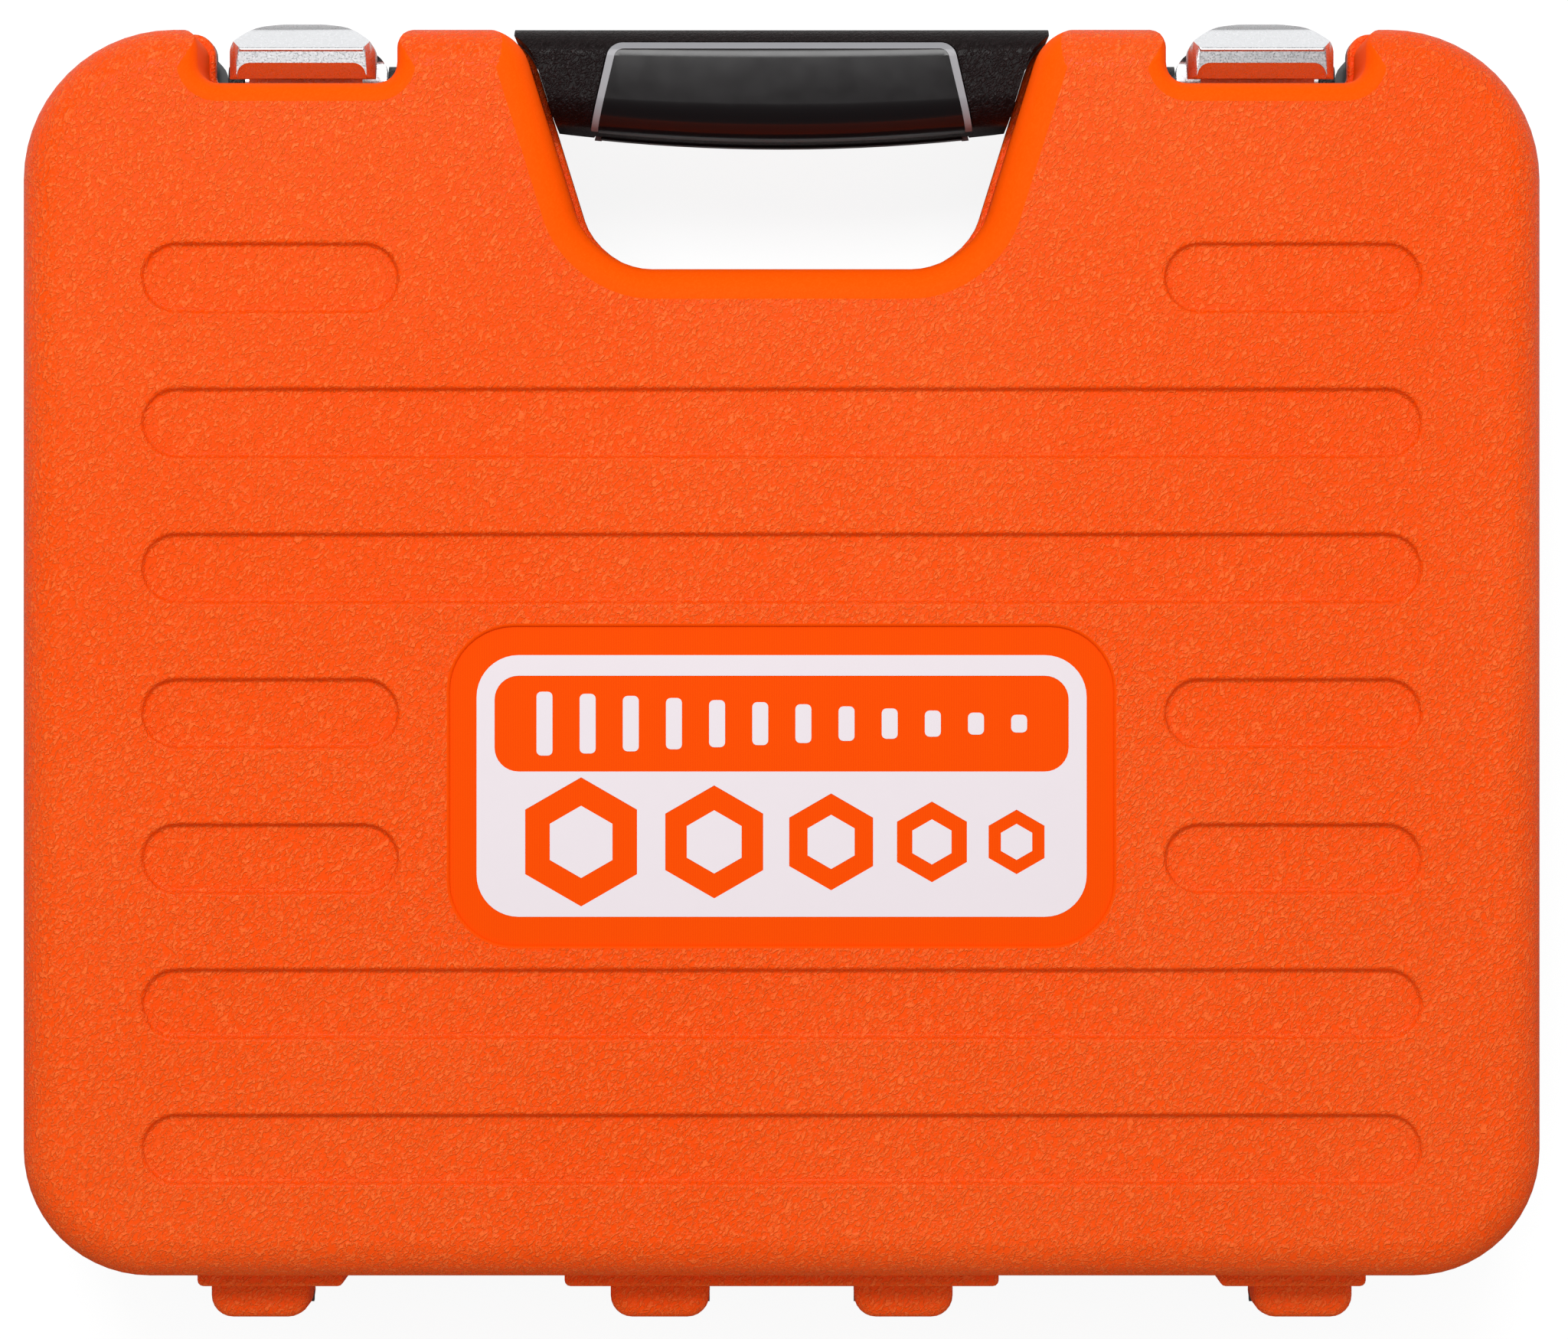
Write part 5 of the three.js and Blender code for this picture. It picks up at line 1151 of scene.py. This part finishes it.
for name, x, y, z, length, drive in (("extension_half_long", -172, -131, 30, 250, HALF_DRIVE),
                                     ("extension_half_short", -86, 0, 30, 125, HALF_DRIVE),
                                     ("extension_quarter_long", 2, 36, 35, 100, QUARTER_DRIVE),
                                     ("extension_quarter_short", 118, 36, 35, 50, QUARTER_DRIVE)):
    finish_piece(f"{name}_turned", extension(length, drive), [CHROME, SATIN_CHROME], "case_base", [name],
                 at(x, y, z))
    trough(x, x + length, y, drive * 0.9, z - drive * 0.9 - SEAT)

JOINT = (124, -131, 30)
JOINT_RADIUS = 12.3
JOINT_REACH = 36.0
CROSS_HALF = 5.5
EAR = (6.3, 11.3)
EAR_HALF = CROSS_HALF + 0.5
TRUNNION = 3.0
YOKE_ROOT = EAR[1] + 1
half = HALF_DRIVE / 2


def yoke(profile, side):
    """A yoke's turned root with two rounded ears that reach past the cross along Y."""
    body = turned(profile, axis="X", sides=40)
    for up in (-1, 1):
        y0, y1 = sorted((up * EAR[0], up * EAR[1]))
        x0, x1 = sorted((0, side * (YOKE_ROOT + 1)))
        ear = joined(block(x0, x1, y0, y1, -EAR_HALF, EAR_HALF),
                     rod(EAR_HALF - 0.001, EAR[1] - EAR[0], (0, (y0 + y1) / 2, 0), "Y", 32))
        body = joined(body, ear)
    return cut(body, rod(TRUNNION + SEAT, 3 * JOINT_RADIUS, (0, 0, 0), "Y", 24))


socket_yoke = yoke([(0, -JOINT_REACH), (JOINT_RADIUS - 0.5, -JOINT_REACH), (JOINT_RADIUS, -JOINT_REACH + 0.5),
                    (JOINT_RADIUS, -YOKE_ROOT - 0.5), (JOINT_RADIUS - 0.5, -YOKE_ROOT), (0, -YOKE_ROOT)], -1)
socket_yoke = cut(socket_yoke, painted(block(-JOINT_REACH - 1, -JOINT_REACH + HALF_DRIVE * 1.3, -half, half,
                                             -half, half), 1))
finish_piece("universal_joint_socket_yoke_turned", socket_yoke, [CHROME, SATIN_CHROME], "case_base",
             ["universal_joint_socket_yoke"], at(*JOINT))
shoulder = JOINT_REACH - HALF_DRIVE * 1.2
drive_yoke = yoke([(0, YOKE_ROOT), (JOINT_RADIUS - 0.5, YOKE_ROOT), (JOINT_RADIUS, YOKE_ROOT + 0.5),
                   (JOINT_RADIUS, shoulder - 2.2), (JOINT_RADIUS - 0.4, shoulder - 1.6),
                   (JOINT_RADIUS - 2, shoulder), (0, shoulder)], 1)
drive_yoke.transform(Matrix.Rotation(math.pi / 2, 4, "X"))
drive_yoke = joined(drive_yoke, square_end("X", HALF_DRIVE, shoulder - 1, JOINT_REACH))
finish_piece("universal_joint_drive_yoke_turned", drive_yoke, [CHROME], "case_base",
             ["universal_joint_drive_yoke"], at(*JOINT))
cross = joined(eased(block(*(sign * CROSS_HALF for sign in (-1, 1, -1, 1, -1, 1))), 0.5, 2),
               rod(TRUNNION, 2 * EAR[1], (0, 0, 0), "Y", 24), rod(TRUNNION, 2 * EAR[1], (0, 0, 0), "Z", 24))
finish_piece("universal_joint_cross_ground", cross, [ZINC], "case_base", ["universal_joint_cross"],
             at(*JOINT))
trough(JOINT[0] - JOINT_REACH, JOINT[0] + JOINT_REACH, JOINT[1], JOINT_RADIUS, JOINT[2] - JOINT_RADIUS - SEAT)

PLUG = (LEFT_X, -89, 30)
PLUG_LENGTH, PLUG_RADIUS, PLUG_HEXAGON = 66.0, 13.0, 21.3
waist = PLUG_RADIUS - 1.5
plug = turned([(0, 0), (waist - 0.5, 0), (waist, 0.5), (waist, 10), (waist - 0.4, 10.4), (waist - 0.4, 11.2),
               (waist, 11.6), (waist, PLUG_LENGTH * 0.4), (PLUG_RADIUS, PLUG_LENGTH * 0.45),
               (PLUG_RADIUS, PLUG_LENGTH - 0.5), (PLUG_RADIUS - 0.5, PLUG_LENGTH), (0, PLUG_LENGTH)],
              axis="X", sides=40)
broach = rod(PLUG_HEXAGON / math.sqrt(3), PLUG_LENGTH / 2 + 1, (PLUG_LENGTH * 0.75 + 0.5, 0, 0), "X", 6)
plug = cut(plug, painted(broach, 1), painted(block(-1, PLUG_LENGTH / 2 + 0.5, -half, half, -half, half), 1))
finish_piece("plug_socket_21mm_turned", plug, [CHROME, SATIN_CHROME], "case_base", ["plug_socket_21mm"],
             at(*PLUG))
trough(PLUG[0], PLUG[0] + PLUG_LENGTH, PLUG[1], PLUG_RADIUS, PLUG[2] - PLUG_RADIUS - SEAT)

# %% [markdown]
# The spinner handle has a fluted screwdriver grip on a plain shaft with a quarter-inch square.
# The bit block is a moulded rack with a round edge, and its bits stand on their hexagon ends:
# cross, slot, hexagon and star tips in turn.

# %% Spinner handle
SPINNER = (0, 71, 33)
SPINNER_LENGTH, SPINNER_GRIP, SPINNER_RADIUS, SHAFT_RADIUS = 145.0, 88.0, 13.5, 3.6
r = SPINNER_RADIUS
grip = turned([(0, 0), (0.45 * r, 0), (0.7 * r, 0.06 * r), (0.88 * r, 0.22 * r), (r, 0.5 * r), (r, SPINNER_GRIP * 0.6),
               (0.93 * r, SPINNER_GRIP * 0.68), (0.76 * r, SPINNER_GRIP * 0.77), (0.7 * r, SPINNER_GRIP * 0.82),
               (0.7 * r, SPINNER_GRIP - 1), (0.7 * r - 1, SPINNER_GRIP), (0, SPINNER_GRIP)], axis="X", sides=48)
flutes = [(math.cos(math.radians(60 * k + 30)) * r * 1.2, math.sin(math.radians(60 * k + 30)) * r * 1.2)
          for k in range(6)]
grip = cut(grip, gather(*[turned([(0, 8), (3, 9), (0.36 * r, 14), (0.36 * r, SPINNER_GRIP * 0.56), (0, SPINNER_GRIP * 0.64)],
                                 (0, y, z), "X", 24) for y, z in flutes]),
           rod(SHAFT_RADIUS + SEAT, SPINNER_GRIP * 0.4 + 2, (SPINNER_GRIP * 0.8 + 0.85, 0, 0), "X", 32))
finish_piece("spinner_grip_fluted", banded(grip, SPINNER_GRIP * 0.83, SPINNER_GRIP - 0.5), [SOFT_BLACK, SOFT_ORANGE],
             "case_base", ["spinner_grip"], at(*SPINNER))
square_start = SPINNER_LENGTH - QUARTER_DRIVE * 1.2
shaft = turned([(0, SPINNER_GRIP * 0.6), (SHAFT_RADIUS, SPINNER_GRIP * 0.6), (SHAFT_RADIUS, square_start - 0.4),
                (SHAFT_RADIUS - 0.4, square_start), (0, square_start)], axis="X", sides=32)
finish_piece("spinner_shaft_turned", joined(shaft, square_end("X", QUARTER_DRIVE, square_start - 1, SPINNER_LENGTH)),
             [CHROME], "case_base", ["spinner_shaft"], at(*SPINNER))
trough(SPINNER[0], SPINNER_LENGTH, SPINNER[1], SPINNER_RADIUS, SPINNER[2] - SPINNER_RADIUS - SEAT)

# %% Bit block
BLOCK = (-131, 113, 24.3)
BLOCK_SIZE = (90.0, 30.0, 14.0)
BIT_FLATS = 6.35
BIT_STAND = 11.0
rack = new_solid(rectangle(0, 0, BLOCK_SIZE[0], BLOCK_SIZE[1], 3), 0, BLOCK_SIZE[2] - 1, rounded_edge(1, 3), 5)


def bit(kind, x, y):
    """One screwdriver bit: its hexagon end and its tip."""
    foot, top = BLOCK_SIZE[2] - 1, BLOCK_SIZE[2] + BIT_STAND
    corner = BIT_FLATS / math.sqrt(3)
    end = top - 5.5
    shank = rod(corner, end - foot, (x, y, (end + foot) / 2), sides=6)
    if kind == "cross":
        tip = turned([(0, end - 1), (2.9, end - 1), (2.9, end + 1.5), (0.7, top), (0, top)], (x, y, 0), sides=24)
        wings = [block(*sorted((x + a * 0.55, x + a * 4)), *sorted((y + b * 0.55, y + b * 4)), end + 1, top + 1)
                 for a in (-1, 1) for b in (-1, 1)]
        tip = cut(tip, gather(*wings))
    elif kind == "slot":
        tip = hull([(x + a * 2.9, y + b * w, z) for a in (-1, 1) for b in (-1, 1)
                    for w, z in ((1.9, end - 1), (0.5, top))])
    elif kind == "hexagon":
        tip = rod(2.6, 6.5, (x, y, top - 3.25), sides=6)
    else:
        grooves = [rod(0.55, 8, (x + 2.45 * math.cos(k * math.pi / 3), y + 2.45 * math.sin(k * math.pi / 3), top - 3),
                       sides=12) for k in range(6)]
        tip = cut(rod(2.4, 6.5, (x, y, top - 3.25), sides=36), gather(*grooves))
    collar = turned([(0, end - 1), (corner * 0.96, end - 1), (2.7, end + 1.2), (0, end + 1.2)], (x, y, 0), sides=24)
    whole = combine(shank, collar, "UNION") if kind == "slot" else joined(shank, collar)
    return joined(whole, tip)


KINDS = ("cross", "slot", "hexagon", "star")
places = [((column - 2.5) / 6 * BLOCK_SIZE[0], (row - 0.5) / 2 * BLOCK_SIZE[1], column + 2 * row)
          for row in range(2) for column in range(6)]
corner = BIT_FLATS / math.sqrt(3)
sleeves = gather(*[turned([(0, BLOCK_SIZE[2] - 0.8), (corner + 0.5, BLOCK_SIZE[2] - 0.8), (corner + 1.3, BLOCK_SIZE[2]),
                           (corner + 1.3, BLOCK_SIZE[2] + 1), (0, BLOCK_SIZE[2] + 1)], (x, y, 0), sides=24)
                   for x, y, _ in places])
finish_piece("bit_block_rack", cut(rack, sleeves), [BLOCK_BLACK], "case_base", ["bit_block"],
             at(*BLOCK))
finish_piece("bit_set", gather(*[bit(KINDS[k % 4], x, y) for x, y, k in places]), [BIT_STEEL], "case_base",
             place=at(*BLOCK))
nests.append((rectangle(BLOCK[0], BLOCK[1], BLOCK_SIZE[0] + 2, BLOCK_SIZE[1] + 2, 4), 24.0, 5))

# %% [markdown]
# ## The tray
#
# The tray is one moulding: a land that all nests open onto, a wall round its edge, and a cup
# under every nest. All nests have a rounded lip. Two open nests take small parts, and three
# finger scoops let a tool be lifted out.

# %% The tray
LAND_Z = 36.0
TRAY_PLATE = 2.2
TRAY_EDGE_TOP = 46.5
TRAY_EDGE = 1.8
CUP_WALL = 1.8
CUP_FLOOR = 2.0
NEST_LIP = 1.3
for x, y, width, height, radius, floor in ((130, 112, 96, 40, 6, 5.3), (118, 0, 112, 22, 6, 14),
                                           (-60, -131, 30, 32, 9, 16), (85, -89, 30, 40, 9, 20),
                                           (-86, 36, 22, 28, 9, 27)):
    nests.append((rectangle(x, y, width, height, radius), floor, 6))
tray = new_solid(grow(OUTLINE, -LINER_INSET), LAND_Z - TRAY_PLATE, TRAY_EDGE_TOP - LAND_Z + TRAY_PLATE - 0.4,
                 rounded_edge(0.4, 2), 6)
pocket = new_solid(grow(OUTLINE, -LINER_INSET - TRAY_EDGE), LAND_Z, TRAY_EDGE_TOP, segments=6)
cups = gather(*[new_solid(grow(corners, CUP_WALL), floor - CUP_FLOOR, LAND_Z - 0.6 - floor + CUP_FLOOR,
                          segments=segments) for corners, floor, segments in nests])
holes = gather(*[hollow(corners, LAND_Z, LAND_Z - floor, NEST_LIP, 0, 0.7, above=6, segments=segments)
                 for corners, floor, segments in nests])
tray = combine(cut(tray, pocket), cups, "UNION", overlapping=True)
tray = combine(tray, painted(holes, 1), "DIFFERENCE", overlapping=True)
finish_piece("tool_tray", tray, [TRAY_GRAINED, TRAY_SMOOTH], "case_base", ["base_tool_tray"])
for stand in SLOT_STANDS:
    bpy.data.materials.remove(stand)

# %% [markdown]
# ## Pins
#
# The pins are right as they were packed, so they keep their shape and only get a finish.

# %% Pins that keep their shape
PLATED_PINS = [f"hinge_pin_{number}" for number in range(1, 5)]
PLATED_PINS += [f"{owner}_pin_{side}" for owner in ("latch", "handle") for side in ("left", "right")]


def refinish(names, material):
    """Puts a finish on CAD nodes that keep their shape."""
    for name in names:
        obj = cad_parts[name]
        for slot in obj.material_slots:
            slot.material = material
    print(len(names), "nodes finished in", material.name)


refinish(PLATED_PINS, ZINC)

# %% [markdown]
# ## Stage, lights and camera
#
# The case lies on a white floor, under a large soft lamp over its handle side. The world gives
# an even white fill. What shiny surfaces mirror is darker overhead, like a studio ceiling, and on
# the hinge side, like a dark card there, so that curved chrome has something to bend and the
# orange stays deep. The camera looks straight down at the lid.

# %% Floor
floor_half = 2.5
sheet = bmesh.new()
bmesh.ops.create_grid(sheet, x_segments=1, y_segments=1, size=floor_half,
                      matrix=Matrix.Translation((0, 0, -0.0004)))
floor_white, tree, shader = start_finish("paper_white", {"Roughness": 0.9, "Specular IOR Level": 0.0,
                                                         "Emission Color": (1, 1, 1, 1)})
rays = add_node(tree, "LightPath").outputs
seen = rays["Is Camera Ray"]
lift = add_node(tree, "Math", {0: seen, 1: 0.87}, operation="MULTIPLY").outputs["Value"]
tree.links.new(lift, shader.inputs["Emission Strength"])
beyond = add_node(tree, "TexCoord").outputs["Object"]
beyond = add_node(tree, "SeparateXYZ", {"Vector": beyond}).outputs["Y"]
beyond = add_node(tree, "MapRange", {"Value": beyond, "From Min": -0.2, "From Max": 0.2}).outputs["Result"]
glossy_tint = add_node(tree, "Mix", {"Factor": beyond, "A": linear("#2c2c2c"), "B": linear("#d0d0d0")},
                       data_type="RGBA").outputs["Result"]
tint = add_node(tree, "Mix", {"Factor": rays["Is Glossy Ray"], "A": linear("#f2f2f2"), "B": glossy_tint},
                data_type="RGBA").outputs["Result"]
tint = add_node(tree, "Mix", {"Factor": seen, "A": tint, "B": linear("#848484")}, data_type="RGBA")
tree.links.new(tint.outputs["Result"], shader.inputs["Base Color"])
as_object("floor", sheet, [floor_white])

# %% World and lamp
scene = bpy.context.scene
scene.view_settings.view_transform = "Standard"
world = bpy.data.worlds.new("white_studio")
scene.world = world
world.use_nodes = True
tree = world.node_tree
tree.nodes.clear()
FILL = 0.55
rays = add_node(tree, "LightPath").outputs
mirrored = add_node(tree, "Math", {0: rays["Is Glossy Ray"], 1: rays["Is Transmission Ray"]}, operation="MAXIMUM")
direction = add_node(tree, "TexCoord").outputs["Generated"]
parts = add_node(tree, "SeparateXYZ", {"Vector": direction}).outputs
height = parts["Z"]
ceiling = add_node(tree, "MapRange", {"Value": height, "From Min": 0.15, "From Max": 0.7, "To Min": 1.0,
                                      "To Max": 0.15}, interpolation_type="SMOOTHSTEP").outputs["Result"]
near_side = add_node(tree, "MapRange", {"Value": parts["Y"], "From Min": -0.6, "From Max": 0.6, "To Min": 0.1,
                                        "To Max": 1.2}, interpolation_type="SMOOTHSTEP").outputs["Result"]
room = add_node(tree, "Math", {0: ceiling, 1: near_side}, operation="MULTIPLY").outputs["Value"]
mirror = add_node(tree, "Math", {0: mirrored.outputs["Value"], 1: room}, operation="MULTIPLY").outputs["Value"]
plain = add_node(tree, "Math", {0: rays["Is Camera Ray"], 1: mirror}, operation="MAXIMUM").outputs["Value"]
either = add_node(tree, "Math", {0: rays["Is Camera Ray"], 1: mirrored.outputs["Value"]}, operation="MAXIMUM")
strength = add_node(tree, "Mix", {"Factor": either.outputs["Value"], "A": FILL, "B": plain})
background = add_node(tree, "Background", {"Color": (1, 1, 1, 1), "Strength": strength.outputs["Result"]})
add_node(tree, "OutputWorld", {"Surface": background.outputs["Background"]})

lamp_data = bpy.data.lights.new("softbox", "AREA")
lamp_data.shape = "RECTANGLE"
lamp_data.size = 0.8
lamp_data.size_y = 0.32
lamp_data.energy = 8.5
lamp = bpy.data.objects.new("softbox", lamp_data)
scene.collection.objects.link(lamp)
lamp_place = Vector((-0.08, 0.52, 1.1))
lamp_aim = Vector((0, 0, 0.04))
lamp.matrix_world = Matrix.Translation(lamp_place) @ (lamp_aim - lamp_place).to_track_quat("-Z", "Y").to_matrix().to_4x4()

# %% Camera
camera_data = bpy.data.cameras.new("camera")
camera_data.sensor_width = 36.0
camera_data.lens = 123.9
camera = bpy.data.objects.new("camera", camera_data)
scene.collection.objects.link(camera)
camera.location = (0.0006, -0.0003, 1.434)
scene.camera = camera
